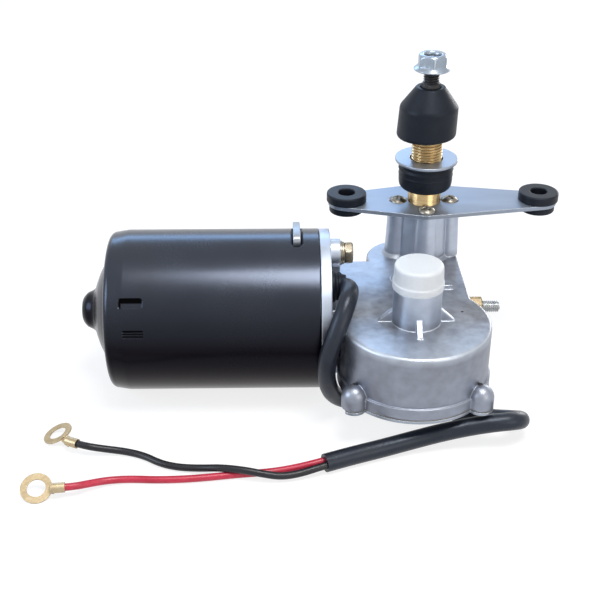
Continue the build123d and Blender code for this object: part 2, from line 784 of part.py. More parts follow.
def rocker_pin():
    """Pin pressed in the rocker, grooved below the rod for its clip."""
    groove = ROD_FOOT - LINK_GAP
    x, y = ROCKER_PIN
    return turned(
        [
            (0, groove - 1.8),
            (PIN_R - 0.3, groove - 1.8),
            (PIN_R, groove - 1.5),
            (PIN_R, groove - 0.8),
            (PIN_R - 0.5, groove - 0.8),
            (PIN_R - 0.5, groove),
            (PIN_R, groove),
            (PIN_R, ARM_TOP),
            (0, ARM_TOP),
        ],
        x,
        y,
    )


def rocker_pin_clip():
    """Clip that keeps the rod on the rocker pin."""
    groove = ROD_FOOT - LINK_GAP
    x, y = ROCKER_PIN
    ring = upright(x, y, groove - 0.8, groove, 4.8)
    ring -= upright(x, y, groove - 2, groove + 1, PIN_R - 0.5)
    return ring - block(x - 6, x, y - 1, y + 1, groove - 2, groove + 1)


def connecting_rod():
    """Flat rod from crank to rocker with an eye at each end."""
    dx = ROCKER_PIN[0] - CRANK_PIN[0]
    dy = ROCKER_PIN[1] - CRANK_PIN[1]
    middle = ((ROCKER_PIN[0] + CRANK_PIN[0]) / 2, (ROCKER_PIN[1] + CRANK_PIN[1]) / 2)
    plan = Pos(*middle) * Rot(0, 0, degrees(atan2(dy, dx))) * Rectangle(hypot(dx, dy), ROD_W)
    for x, y in (CRANK_PIN, ROCKER_PIN):
        plan += Pos(x, y) * Circle(EYE_R)
    for x, y in (CRANK_PIN, ROCKER_PIN):
        plan -= Pos(x, y) * Circle(PIN_R + 1.0)
    return prism(plan, ROD_FOOT, ROD_TOP)


def rod_bushes():
    """Sintered liners of the two eyes."""
    made = []
    for x, y in (CRANK_PIN, ROCKER_PIN):
        ring = upright(x, y, ROD_FOOT, ROD_TOP, PIN_R + 1.0)
        made.append(ring - upright(x, y, ROD_FOOT - 1, ROD_TOP + 1, PIN_R + RUN_FIT))
    return group(*made)


# Worm wheel

def involute(angle_deg):
    """Involute function: tangent of the angle less the angle."""
    return tan(radians(angle_deg)) - radians(angle_deg)


def tooth_half_angle(r):
    """Half the angle a wheel tooth takes at radius r, from the involute rule."""
    base = WHEEL_PITCH_R * cos(radians(PRESSURE_ANGLE))
    here = degrees(acos(base / r))
    return TOOTH_T / (2 * WHEEL_PITCH_R) + involute(PRESSURE_ANGLE) - involute(here)


def wheel_section():
    """Plan of the toothed wheel; a gap, not a tooth, faces the worm."""
    points = []
    for tooth in range(TEETH):
        middle = pi / 2 + (tooth + 0.5) * 2 * pi / TEETH
        radii = (WHEEL_ROOT_R, WHEEL_PITCH_R, WHEEL_TIP_R)
        rising = [(r, middle - tooth_half_angle(r)) for r in radii]
        falling = [(r, middle + tooth_half_angle(r)) for r in reversed(radii)]
        points += [(r * cos(a), r * sin(a)) for r, a in rising + falling]
    return make_face(Polyline(*points, close=True))


def worm_wheel():
    """Nylon worm wheel: helical teeth matched to the worm, thinned web."""
    lean = degrees(WHEEL_T / 2 * LEAD_SLOPE / WHEEL_PITCH_R)
    low = Pos(0, 0, WHEEL_FOOT) * Rot(0, 0, -lean) * wheel_section()
    high = Pos(0, 0, WHEEL_TOP) * Rot(0, 0, lean) * wheel_section()
    shape = loft([low, high], ruled=True)
    shape -= upright(0, 0, WHEEL_FOOT - 1, WHEEL_TOP + 1, WHEEL_HUB_R)
    for z0, z1 in ((WHEEL_TOP - 2.2, WHEEL_TOP + 1), (WHEEL_FOOT - 1, WHEEL_FOOT + 2.2)):
        shape -= upright(0, 0, z0, z1, 23.2) - upright(0, 0, z0, z1, 15.5)
    return Pos(WHEEL_X, WHEEL_Y, 0) * shape


def wheel_hub():
    """Steel hub moulded in the wheel; it carries shaft and crank pin."""
    shape = upright(WHEEL_X, WHEEL_Y, WHEEL_FOOT - 1.0, WHEEL_TOP + 1.0, WHEEL_HUB_R)
    shape -= upright(WHEEL_X, WHEEL_Y, WHEEL_FOOT - 2, WHEEL_TOP + 2, WHEEL_SHAFT_R)
    x, y = CRANK_PIN
    return shape - upright(x, y, WHEEL_FOOT - 2, WHEEL_FOOT + 5, PIN_R)


def wheel_shaft():
    """Stub shaft up through the boss, grooved for its clip."""
    groove = BOSS_TOP + 0.8 + LOOSE_FIT
    r = WHEEL_SHAFT_R
    return turned(
        [
            (0, WHEEL_FOOT - 1.0),
            (r, WHEEL_FOOT - 1.0),
            (r, groove),
            (r - 0.5, groove),
            (r - 0.5, groove + 1.0),
            (r, groove + 1.0),
            (r, groove + 2.6),
            (r - 0.5, groove + 3.1),
            (0, groove + 3.1),
        ],
        WHEEL_X,
        WHEEL_Y,
    )


def wheel_clip():
    """Retaining ring on top of the wheel shaft."""
    groove = BOSS_TOP + 0.8 + LOOSE_FIT
    ring = upright(WHEEL_X, WHEEL_Y, groove, groove + 1.0, 7.4)
    ring -= upright(WHEEL_X, WHEEL_Y, groove - 1, groove + 2, WHEEL_SHAFT_R - 0.5)
    return ring - block(WHEEL_X, WHEEL_X + 9, WHEEL_Y - 1.2, WHEEL_Y + 1.2, groove - 1, groove + 2)


def wheel_washer():
    """Thrust washer between boss and clip."""
    ring = upright(WHEEL_X, WHEEL_Y, BOSS_TOP, BOSS_TOP + 0.8, 8.8)
    return ring - upright(WHEEL_X, WHEEL_Y, BOSS_TOP - 1, BOSS_TOP + 2, WHEEL_SHAFT_R + LOOSE_FIT)


def wheel_bush():
    """Sintered bearing of the wheel shaft."""
    ring = upright(WHEEL_X, WHEEL_Y, SLEEVE_FOOT, BOSS_TOP, 7.5)
    return ring - upright(WHEEL_X, WHEEL_Y, SLEEVE_FOOT - 1, BOSS_TOP + 1, WHEEL_SHAFT_R + RUN_FIT)


def crank_pin():
    """Crank pin in the hub; it stops just above the rod's eye, the open pivot."""
    x, y = CRANK_PIN
    return upright(x, y, ROD_TOP + OPEN_PIVOT_GAP, WHEEL_FOOT + 5, PIN_R)


def boss_cap():
    """White plastic cap over the boss, with a thicker rim below."""
    return turned(
        [
            (BOSS_NECK_R, BOSS_SHOULDER),
            (BOSS_CAP_RIM_R, BOSS_SHOULDER),
            (BOSS_CAP_RIM_R, BOSS_SHOULDER + 3.4),
            (BOSS_R + 0.15, BOSS_SHOULDER + 3.9),
            (BOSS_R - 0.1, BOSS_CAP_TOP - 1.4),
            (BOSS_R - 0.6, BOSS_CAP_TOP - 0.4),
            (BOSS_R - 1.6, BOSS_CAP_TOP),
            (0, BOSS_CAP_TOP),
            (0, BOSS_CAP_TOP - BOSS_CAP_WALL),
            (BOSS_NECK_R - 0.2, BOSS_CAP_TOP - BOSS_CAP_WALL),
            (BOSS_NECK_R - 0.2, BOSS_TOP),
            (BOSS_NECK_R, BOSS_TOP),
        ],
        WHEEL_X,
        WHEEL_Y,
    )


# Worm and rotor

def worm():
    """Single-start worm: a tapering tooth swept along a helix, then fused to its core."""
    height = WORM_TURNS * WORM_LEAD
    deep = WORM_ROOT_R - 0.4
    path = Helix(WORM_LEAD, height, WORM_PITCH_R)
    slope = tan(radians(PRESSURE_ANGLE))
    inner = TOOTH_T / 2 + (WORM_PITCH_R - deep) * slope
    outer = TOOTH_T / 2 - (WORM_TIP_R - WORM_PITCH_R) * slope
    section = Plane(path @ 0, x_dir=(1, 0, 0), z_dir=path % 0) * make_face(
        Polyline(
            (deep - WORM_PITCH_R, -inner),
            (WORM_TIP_R - WORM_PITCH_R, -outer),
            (WORM_TIP_R - WORM_PITCH_R, outer),
            (deep - WORM_PITCH_R, inner),
            close=True,
        )
    )
    thread = sweep(section, path, is_frenet=True)
    start = WHEEL_X - (WORM_TURNS / 2) * WORM_LEAD
    thread = Pos(start, AXIS_Y, AXIS_Z) * Rot(0, 90, 0) * thread
    core = lying(start - 3.0, start + height + 1.0, WORM_ROOT_R)
    whole = core + thread
    return whole - lying(start - 6.0, start + height + 6.0, SHAFT_R)


def rotor_shaft():
    """One shaft through motor and worm."""
    right = THRUST_SCREW_X0 - 2.0
    return spun(
        [
            (SHAFT_LEFT_X, 0),
            (SHAFT_LEFT_X, SHAFT_R - 0.6),
            (SHAFT_LEFT_X + 0.6, SHAFT_R),
            (right - 0.8, SHAFT_R),
            (right - 0.1, SHAFT_R - 1.5),
            (right - 0.1, 0),
        ]
    )


def core_plan():
    """Slotted lamination, drawn flat about its own centre."""
    plan = Circle(CORE_R) - Circle(SHAFT_R)
    for index in range(SLOT_COUNT):
        slot = Pos((SLOT_IN_R + SLOT_OUT_R) / 2, 0) * Rectangle(SLOT_OUT_R - SLOT_IN_R, SLOT_W)
        slot += Pos(CORE_R, 0) * Rectangle(8.0, SLOT_MOUTH_W)
        plan -= Rot(0, 0, index * 360 / SLOT_COUNT) * slot
    return plan


def rotor_core():
    """Stack of laminations."""
    return Pos(CORE_X0, AXIS_Y, AXIS_Z) * Rot(0, 90, 0) * extrude(core_plan(), CORE_X1 - CORE_X0)


def rotor_winding():
    """Copper winding: bars in the slots and a rounded overhang at each end."""
    half = SLOT_OUT_R - 0.4
    shape = Part()
    for x0, x1 in ((CORE_X0 - WINDING_OVERHANG, CORE_X0), (CORE_X1, CORE_X1 + WINDING_OVERHANG)):
        outer = x0 if x1 == CORE_X0 else x1
        inner = x1 if x1 == CORE_X0 else x0
        step = 3.0 if outer < inner else -3.0
        shape += spun(
            [
                (inner, SLOT_IN_R),
                (inner, half),
                (outer + step, half),
                (outer, half - 4.0),
                (outer, SLOT_IN_R + 1.0),
                (outer + step / 3, SLOT_IN_R),
            ]
        )
    for index in range(SLOT_COUNT):
        bar = Pos((SLOT_IN_R + half) / 2 + 0.1, 0) * Rectangle(half - SLOT_IN_R - 0.2, SLOT_W - 0.4)
        bar = Rot(0, 0, index * 360 / SLOT_COUNT) * bar
        shape += Pos(CORE_X0 - 1, AXIS_Y, AXIS_Z) * Rot(0, 90, 0) * extrude(
            bar, CORE_X1 - CORE_X0 + 2
        )
    return shape


def commutator():
    """Copper commutator with saw cuts between its bars."""
    shape = lying(COMMUTATOR_X0, COMMUTATOR_X1, COMMUTATOR_R)
    shape += lying(COMMUTATOR_X0 - 2.5, COMMUTATOR_X0, COMMUTATOR_R + 2.0)
    shape -= lying(COMMUTATOR_X0 - 5, COMMUTATOR_X1 + 5, SHAFT_R)
    cut = Pos(COMMUTATOR_R + 1.5, 0) * Rectangle(5.0, 0.7)
    for index in range(SLOT_COUNT):
        bar = extrude(Rot(0, 0, (index + 0.5) * 360 / SLOT_COUNT) * cut, 30)
        shape -= Pos(COMMUTATOR_X0 - 5, AXIS_Y, AXIS_Z) * Rot(0, 90, 0) * bar
    return shape


# Motor can and brush gear

def can_corner(x_end, r_out, long, deep, steps=7):
    """Quarter ellipse from the can's wall to its end, as (x, radius) points."""
    points = []
    for index in range(steps + 1):
        angle = radians(90 * index / steps)
        points.append((x_end + long * (1 - sin(angle)), r_out - deep * (1 - cos(angle))))
    return points


def beyond_end(profile):
    """Place (distance beyond the can's end, radius) points on the motor axis."""
    return [(CAN_END_X - far, r) for far, r in profile]


def can_cutter(x0, x1, angle0, angle1, r0, r1):
    """Curved block on the can: range along X, angle range up from the front."""
    ring = lying(x0, x1, r1) - lying(x0 - 1, x1 + 1, r0)
    middle = (angle0 + angle1) / 2
    half = (angle1 - angle0) / 2
    reach = 2 * r1
    face = Plane.YZ * make_face(
        Polyline(
            (0, 0),
            (-reach, reach * tan(radians(half))),
            (-reach, -reach * tan(radians(half))),
            close=True,
        )
    )
    wedge = extrude(face, x1 - x0 + 2, dir=(1, 0, 0))
    return ring & (Pos(x0 - 1, AXIS_Y, AXIS_Z) * Rot(-middle, 0, 0) * wedge)


def motor_can():
    """Drawn steel can with a stepped bearing cup, pressed recesses and a lug window."""
    outer = [(CAN_OPEN_X, CAN_R)]
    outer += can_corner(CAN_END_X, CAN_R, CAN_CORNER_LONG, CAN_CORNER_DEEP)
    outer += beyond_end(CUP_OUTER)
    inner = beyond_end(CUP_INNER)
    inner += reversed(
        can_corner(
            CAN_END_X + CAN_WALL,
            CAN_IN_R,
            CAN_CORNER_LONG - CAN_WALL,
            CAN_CORNER_DEEP - CAN_WALL,
        )
    )
    inner.append((CAN_OPEN_X, CAN_IN_R))
    shape = spun(outer + inner)
    floor = CAN_R - SLOT_DEPTH
    shape -= can_cutter(*UPPER_SLOT, floor, CAN_R + 2)
    for angle in LOUVRE_ANGLES:
        shape -= can_cutter(LOUVRE_X0, LOUVRE_X1, angle, angle + LOUVRE_W, floor, CAN_R + 2)
    window_play = degrees(LUG_GAP / CAN_R)
    window = can_cutter(
        LUG_X0 - LUG_GAP,
        LUG_X1 + LUG_GAP,
        LUG_FROM - window_play,
        LUG_TO + window_play,
        CAN_IN_R - LUG_DEPTH,
        CAN_R + 2,
    )
    return shape - window


def locating_lug():
    """Cast lug keyed in the can's window, its corners rounded along the can."""
    lug = can_cutter(LUG_X0, LUG_X1, LUG_FROM, LUG_TO, CAN_IN_R - LUG_DEPTH, CAN_R + LUG_RISE)
    return fillet(lug.edges().filter_by(GeomType.LINE).filter_by(Axis.X), LUG_ROUND)


def magnets():
    """Two ferrite shells glued in the can, front and rear."""
    made = []
    for start in (0, 180):
        made.append(
            can_cutter(
                MAGNET_X0,
                MAGNET_X1,
                start - MAGNET_HALF_ANGLE / 1.5,
                start + MAGNET_HALF_ANGLE / 1.5,
                MAGNET_IN_R,
                CAN_IN_R,
            )
        )
    return group(*made)


def rear_bush():
    """Rear bearing of the rotor in the can's cup."""
    ring = spun(beyond_end(REAR_BUSH_OUTER))
    return ring - lying(CAN_END_X - CUP_OUTER[-1][0], CAN_END_X, SHAFT_R + RUN_FIT)


def bush_retainer():
    """Spring plate that keeps the rear bearing in its seat."""
    return spun(beyond_end(RETAINER))


def end_shield():
    """Steel plate inside the can's mouth with two tapped bosses."""
    x1 = SPIGOT_X - 0.05
    shape = lying(x1 - SHIELD_T, x1, CAN_IN_R - SCREW_FIT)
    shape -= lying(x1 - SHIELD_T - 1, x1 + 1, CARD_HOLE_R)
    for side in (1, -1):
        z = AXIS_Z + side * BOLT_RING
        shape += lying(x1 - SHIELD_T - 2.5, x1, 5.5, AXIS_Y, z)
        shape -= lying(x1 - 9, x1 + 1, BOLT_R + SCREW_FIT, AXIS_Y, z)
    return shape - lying(x1 - 9, x1 + 1, CABLE_R + 1.0, GROMMET_Y, GROMMET_Z)


def brush_card():
    """Insulating card that carries the brush boxes."""
    x1 = SPIGOT_X - 0.05 - SHIELD_T
    shape = lying(x1 - CARD_T, x1, CAN_IN_R - CARD_EDGE_GAP)
    shape -= lying(x1 - CARD_T - 1, x1 + 1, CARD_HOLE_R)
    for side in (1, -1):
        shape -= lying(x1 - 9, x1 + 9, 6.0, AXIS_Y, AXIS_Z + side * BOLT_RING)
    return shape


def brush_frame(side):
    """X range and inner end of one brush: (x0, x1, y0) for side +1 or -1."""
    x1 = SPIGOT_X - 0.05 - SHIELD_T - CARD_T - 1.2
    return x1 - BRUSH_W, x1, AXIS_Y + side * (COMMUTATOR_R + LOOSE_FIT)


def brush_boxes():
    """Two folded brass guides."""
    made = []
    for side in (1, -1):
        x0, x1, y0 = brush_frame(side)
        near = y0 + side * 3.0
        far = y0 + side * (BRUSH_LEN + 6.0)
        half = BRUSH_T / 2 + 0.1
        outer = block(x0 - 1.1, x1 + 1.2, near, far, AXIS_Z - half - 1, AXIS_Z + half + 1)
        inner = block(x0 - 0.1, x1 + 0.1, near - 1 * side, far - side, AXIS_Z - half, AXIS_Z + half)
        made.append(outer - inner)
    return group(*made)


def carbon_brushes():
    """Two carbon brushes facing the commutator."""
    made = []
    for side in (1, -1):
        x0, x1, y0 = brush_frame(side)
        made.append(
            block(x0, x1, y0, y0 + side * BRUSH_LEN, AXIS_Z - BRUSH_T / 2, AXIS_Z + BRUSH_T / 2)
        )
    return group(*made)


def brush_springs():
    """Two coil springs behind the brushes, drawn as ribbed tubes."""
    made = []
    for side in (1, -1):
        x0, x1, y0 = brush_frame(side)
        start = BRUSH_LEN + COMMUTATOR_R + LOOSE_FIT
        end = start + 5.0
        points = [(start, 1.5), (start, 2.5)]
        for turn in range(4):
            at = start + turn * 1.25
            points += [(at + 0.7, 2.5), (at + 0.95, 2.0), (at + 1.2, 2.5)]
        points += [(end, 2.5), (end, 1.5)]
        tube = spun(points, 0, 0)
        middle = (x0 + x1) / 2
        made.append(Pos(middle, AXIS_Y, AXIS_Z) * Rot(0, 0, 90 * side) * tube)
    return group(*made)


def flange_bolts():
    """Two hexagon bolts that pull the can to the gear housing."""
    made = []
    for side in (1, -1):
        z = AXIS_Z + side * BOLT_RING
        head = PAD_X + BOLT_WASHER_T
        made.append(
            lying_hex(head, head + BOLT_HEAD_T, BOLT_FLATS, AXIS_Y, z, 30)
            + lying(BOLT_TIP_X, head, BOLT_R, AXIS_Y, z)
        )
    return group(*made)


def flange_washers():
    """Washers under the flange bolts."""
    made = []
    for side in (1, -1):
        z = AXIS_Z + side * BOLT_RING
        ring = lying(PAD_X, PAD_X + BOLT_WASHER_T, BOLT_WASHER_R, AXIS_Y, z)
        made.append(ring - lying(PAD_X - 1, PAD_X + 4, BOLT_R, AXIS_Y, z))
    return group(*made)


def front_bearing():
    """Middle bearing of the rotor, in the wall of the gear housing."""
    ring = lying(SPIGOT_X + 1.5, CAVITY_LEFT_X - 1.5, 8.0)
    return ring - lying(SPIGOT_X - 1, CAVITY_LEFT_X + 1, SHAFT_R + RUN_FIT)


def end_bearing():
    """Bearing of the worm's free end."""
    ring = lying(END_BUSH_X0, END_BUSH_X1, 7.0)
    return ring - lying(END_BUSH_X0 - 1, END_BUSH_X1 + 1, SHAFT_R + RUN_FIT)


def thrust_pad():
    """Hard pad between shaft end and adjusting screw."""
    return lying(THRUST_SCREW_X0 - 2.0, THRUST_SCREW_X0, 4.0)


def thrust_screw():
    """Adjusting screw for the rotor's end play, slotted at its free end."""
    x1 = THRUST_SCREW_X1
    shape = spun(
        [
            (THRUST_SCREW_X0, 0),
            (THRUST_SCREW_X0, THRUST_SCREW_R),
            (x1 - 0.6, THRUST_SCREW_R),
            (x1, THRUST_SCREW_R - 0.6),
            (x1, 0),
        ]
    )
    return shape - block(x1 - 1.5, x1 + 1, AXIS_Y - 4, AXIS_Y + 4, AXIS_Z - 0.5, AXIS_Z + 0.5)


def thrust_lock_nut():
    """Lock nut of the adjusting screw."""
    nut = lying_hex(LOCK_NUT_X0, LOCK_NUT_X1, BOLT_FLATS, AXIS_Y, AXIS_Z, 30)
    return nut - lying(LOCK_NUT_X0 - 1, LOCK_NUT_X1 + 1, THRUST_SCREW_R)


# Cable, wires and terminals

CABLE_ROUTE = [
    (-55.0, GROMMET_Y, GROMMET_Z),
    (-46.3, GROMMET_Y, GROMMET_Z),
    (-41.3, -60.8, -17.6),
    (-42.6, -74.5, -16.0),
    (-48.2, -84.4, -27.5),
    (-53.2, -85.4, -43.0),
    (-52.6, -80.8, -60.5),
    (-47.0, -71.5, -74.2),
    (-34.0, -68.2, CABLE_Z),
    (-14.0, -70.2, CABLE_Z),
    (6.0, -76.2, CABLE_Z),
    (24.0, -82.6, CABLE_Z),
    (36.0, -84.0, CABLE_Z),
    (41.0, -91.15, -74.1),
    (36.0, -98.3, -69.6),
    (25.5, -99.0, -70.2),
    (14.0, -98.5, -72.6),
    (0.0, -99.7, -75.2),
    (-14.3, -102.4, -77.6),
    (-28.6, -107.0, CABLE_Z),
    (-42.25, -112.07, CABLE_Z),
    (-54.7, -117.3, CABLE_Z),
]

BLACK_ROUTE = [
    (-49.4, -117.03, CABLE_Z),
    (-56.5, -120.01, CABLE_Z),
    (-66.0, -123.0, -80.0),
    (-74.5, -124.8, -80.2),
    (-82.5, -124.5, -79.0),
    (-91.0, -123.1, -77.75),
    (-102.0, -120.9, -77.85),
    (-112.0, -117.6, -80.6),
    (-122.0, -115.9, WIRE_Z),
    (-130.4, -112.9, WIRE_Z),
    (-138.4, -106.9, WIRE_Z),
    (-147.5, -103.4, WIRE_Z),
    (-157.8, -103.3, -79.7),
    (-166.5, -103.6, -77.7),
    (-173.0, -100.2, -77.9),
]

RED_ROUTE = [
    (-50.8, -113.71, CABLE_Z),
    (-57.9, -116.69, CABLE_Z),
    (-67.5, -118.2, -80.3),
    (-79.0, -120.0, WIRE_Z),
    (-94.0, -121.4, WIRE_Z),
    (-114.0, -124.3, WIRE_Z),
    (-130.0, -125.0, WIRE_Z),
    (-143.2, -124.0, WIRE_Z),
    (-153.0, -125.1, -81.0),
    (-160.4, -128.9, -79.6),
    (-167.2, -133.3, -77.9),
    (-174.1, -133.9, -77.9),
]

# Ring terminals: centre of the eye and the way its face looks
BLACK_EYE = (-181.3, -90.2, -80.1)
BLACK_FACE = (-0.375, 0.0, 0.927)
RED_EYE = (-183.8, -132.3, -79.4)
RED_FACE = (0.0, -0.469, 0.883)


def route_radii(points):
    """Bend radius of each corner: 0.45 of its shorter run over tan(half the turn)."""
    radii = []
    for before, at, after in zip(points, points[1:], points[2:]):
        run_in = [b - a for a, b in zip(before, at)]
        run_out = [b - a for a, b in zip(at, after)]
        long_in = sqrt(sum(c * c for c in run_in))
        long_out = sqrt(sum(c * c for c in run_out))
        dot = sum(a * b for a, b in zip(run_in, run_out)) / (long_in * long_out)
        turn = acos(max(-1.0, min(1.0, dot)))
        radii.append(0.45 * min(long_in, long_out) / tan(turn / 2))
    return radii


def cord(name, points, r):
    """Round cord: straight runs joined by tangent arcs."""
    radii = route_radii(points)
    path = FilletPolyline(*points, radius=radii)
    tube = sweep(Plane(path @ 0, z_dir=path % 0) * Circle(r), path)
    print(name, "radii", [round(value, 1) for value in radii])
    print(name, "length", round(path.length, 1), "volume ratio",
          round(tube.volume / (pi * r * r * path.length), 4))
    return tube


def cable():
    """Outer sleeve of the cable, open at its end where the wires leave."""
    tube = cord("cable", CABLE_ROUTE, CABLE_R)
    end = Vector(*CABLE_ROUTE[-1])
    back = (Vector(*CABLE_ROUTE[-2]) - end).normalized()
    bore = extrude(Plane(end, z_dir=back) * Circle(CABLE_BORE_R), CABLE_BORE_DEPTH)
    return tube - bore


def cable_grommet():
    """Domed rubber grommet where the cable leaves the flange."""
    shape = lying(FLANGE_X, FLANGE_X + 2.6, 7.6, GROMMET_Y, GROMMET_Z)
    dome = Pos(FLANGE_X + 2.6, GROMMET_Y, GROMMET_Z) * Rot(0, 90, 0) * Cone(7.6, 5.9, 6.0)
    shape += Pos(1.5, 0, 0) * dome
    path = FilletPolyline(*CABLE_ROUTE[:5], radius=route_radii(CABLE_ROUTE[:5]))
    return shape - sweep(Plane(path @ 0, z_dir=path % 0) * Circle(CABLE_R), path)


def terminal(eye, face, wire_end, wire_before):
    """Ring terminal: tilted eye, bent neck and a barrel closed round the wire."""
    end = Vector(*wire_end)
    out = (end - Vector(*wire_before)).normalized()
    line = Plane(end - out * BARREL_GRIP, z_dir=out)
    barrel = extrude(line * Circle(BARREL_R), BARREL_LEN)
    barrel -= extrude(line * Circle(WIRE_R + SCREW_FIT), BARREL_LEN)
    centre = Vector(*eye)
    normal = Vector(*face).normalized()
    flat = Plane(centre - normal * (TERMINAL_T / 2), z_dir=normal)
    ring = extrude(flat * (Circle(TERMINAL_R) - Circle(TERMINAL_HOLE_R)), TERMINAL_T)
    root = end + out * ((BARREL_LEN - BARREL_GRIP) / 2) - normal * (BARREL_R - TERMINAL_T / 2)
    across = root - centre
    across -= normal * across.dot(normal)
    near = centre + across.normalized() * ((TERMINAL_R + TERMINAL_HOLE_R) / 2)
    run = root - near
    neck_plane = Plane(near, x_dir=run.cross(normal), z_dir=run)
    neck = extrude(neck_plane * Rectangle(TERMINAL_NECK_W, TERMINAL_T), run.length)
    return ring + neck + barrel


PARTS = {
    "gear_housing": gear_housing,
    "cover_gasket": cover_gasket,
    "cover_plate": cover_plate,
    "cover_screws": cover_screws,
    "mounting_plate": mounting_plate,
    "plate_screws": plate_screws,
    "plate_grommets": plate_grommets,
    "spindle_sleeve": spindle_sleeve,
    "spindle_bushes": spindle_bushes,
    "panel_bush": panel_bush,
    "panel_washer": panel_washer,
    "sleeve_nut": sleeve_nut,
    "spindle_cap": spindle_cap,
    "spindle_shaft": spindle_shaft,
    "spindle_clip": spindle_clip,
    "arm_nut": arm_nut,
    "rocker_arm": rocker_arm,
    "rocker_pin": rocker_pin,
    "rocker_pin_clip": rocker_pin_clip,
    "connecting_rod": connecting_rod,
    "rod_bushes": rod_bushes,
    "worm_wheel": worm_wheel,
    "wheel_hub": wheel_hub,
    "wheel_shaft": wheel_shaft,
    "wheel_clip": wheel_clip,
    "wheel_washer": wheel_washer,
    "wheel_bush": wheel_bush,
    "crank_pin": crank_pin,
    "boss_cap": boss_cap,
    "worm": worm,
    "rotor_shaft": rotor_shaft,
    "rotor_core": rotor_core,
    "rotor_winding": rotor_winding,
    "commutator": commutator,
    "motor_can": motor_can,
    "locating_lug": locating_lug,
    "magnets": magnets,
    "rear_bush": rear_bush,
    "bush_retainer": bush_retainer,
    "end_shield": end_shield,
    "brush_card": brush_card,
    "brush_boxes": brush_boxes,
    "carbon_brushes": carbon_brushes,
    "brush_springs": brush_springs,
    "flange_bolts": flange_bolts,
    "flange_washers": flange_washers,
    "front_bearing": front_bearing,
    "end_bearing": end_bearing,
    "thrust_pad": thrust_pad,
    "thrust_screw": thrust_screw,
    "thrust_lock_nut": thrust_lock_nut,
    "cable_sleeve": cable,
    "cable_grommet": cable_grommet,
}

for node, make in PARTS.items():
    save(node, make())

save("black_wire", cord("black wire", BLACK_ROUTE, WIRE_R))
save("red_wire", cord("red wire", RED_ROUTE, WIRE_R))
save("black_terminal", terminal(BLACK_EYE, BLACK_FACE, BLACK_ROUTE[-1], BLACK_ROUTE[-2]))
save("red_terminal", terminal(RED_EYE, RED_FACE, RED_ROUTE[-1], RED_ROUTE[-2]))
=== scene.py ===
# Wiper motor with worm gearbox, mounting plate, spindle and a two-wire cable, after
# a photograph.  Every new surface is worked out with numpy in metres, in the frame of
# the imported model: origin on the spindle at the plate's top face, +X along the motor,
# +Z up the spindle.

import bmesh
import bpy
import numpy as np
from mathutils import Matrix, Vector


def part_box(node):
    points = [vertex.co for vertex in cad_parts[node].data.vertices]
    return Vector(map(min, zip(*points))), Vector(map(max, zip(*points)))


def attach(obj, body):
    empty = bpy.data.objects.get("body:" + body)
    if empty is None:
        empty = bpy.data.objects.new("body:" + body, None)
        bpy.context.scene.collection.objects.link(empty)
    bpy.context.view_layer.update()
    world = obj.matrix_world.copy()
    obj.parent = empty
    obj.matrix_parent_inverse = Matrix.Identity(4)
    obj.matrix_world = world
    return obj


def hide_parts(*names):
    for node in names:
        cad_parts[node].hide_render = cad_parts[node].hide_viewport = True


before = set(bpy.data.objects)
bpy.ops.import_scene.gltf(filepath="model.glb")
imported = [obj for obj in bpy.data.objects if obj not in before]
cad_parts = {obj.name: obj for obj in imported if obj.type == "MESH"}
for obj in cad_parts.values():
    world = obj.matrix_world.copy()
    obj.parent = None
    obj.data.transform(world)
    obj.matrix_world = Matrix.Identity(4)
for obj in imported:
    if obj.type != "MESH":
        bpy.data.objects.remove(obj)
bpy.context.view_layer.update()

scene = bpy.context.scene
scene.view_settings.view_transform = "Standard"


# Camera, floor and light
# The camera stands where the photograph was taken from: half a metre in front, looking
# down by 29 degrees.  A pale floor, a soft light above, a blue one behind that draws the
# can's top edge, a cool one on the left and two weak ones on the right.

yaw, pitch, roll = np.radians([1.27, 29.44, -0.18])
ahead = np.array([np.sin(yaw) * np.cos(pitch), np.cos(yaw) * np.cos(pitch), -np.sin(pitch)])
across = np.array([np.cos(yaw), -np.sin(yaw), 0.0])
down = np.cross(ahead, across)
image_x = across * np.cos(roll) + down * np.sin(roll)
image_y = down * np.cos(roll) - across * np.sin(roll)
turn = Matrix([[image_x[i], -image_y[i], -ahead[i]] for i in range(3)]).to_4x4()
camera = bpy.data.objects.new("photo_camera", bpy.data.cameras.new("photo_camera"))
camera.matrix_world = Matrix.Translation((-0.07548, -0.52957, 0.24007)) @ turn
camera.data.sensor_width = 36.0
camera.data.lens = 36.0 * 1125.67 / 600.0
camera.data.clip_start = 0.01
scene.collection.objects.link(camera)
scene.camera = camera

floor_z = -0.0831


def new_mesh(name, points, faces, smooth=True):
    """Object from an (n, 3) array of points in metres and an array or list of faces."""
    mesh = bpy.data.meshes.new(name)
    mesh.from_pydata(np.asarray(points, float).tolist(), [], np.asarray(faces).tolist())
    mesh.polygons.foreach_set("use_smooth", np.full(len(mesh.polygons), smooth))
    mesh.update()
    thing = bpy.data.objects.new(name, mesh)
    scene.collection.objects.link(thing)
    return thing


def seen_white(tree):
    """One where a camera, glossy or transmission ray looks, and nought elsewhere."""
    links = tree.links
    rays = tree.nodes.new("ShaderNodeLightPath")
    either = tree.nodes.new("ShaderNodeMath")
    either.operation = "MAXIMUM"
    any_of = tree.nodes.new("ShaderNodeMath")
    any_of.operation = "MAXIMUM"
    links.new(rays.outputs["Is Camera Ray"], either.inputs[0])
    links.new(rays.outputs["Is Transmission Ray"], either.inputs[1])
    links.new(either.outputs[0], any_of.inputs[0])
    links.new(rays.outputs["Is Glossy Ray"], any_of.inputs[1])
    return any_of.outputs[0]


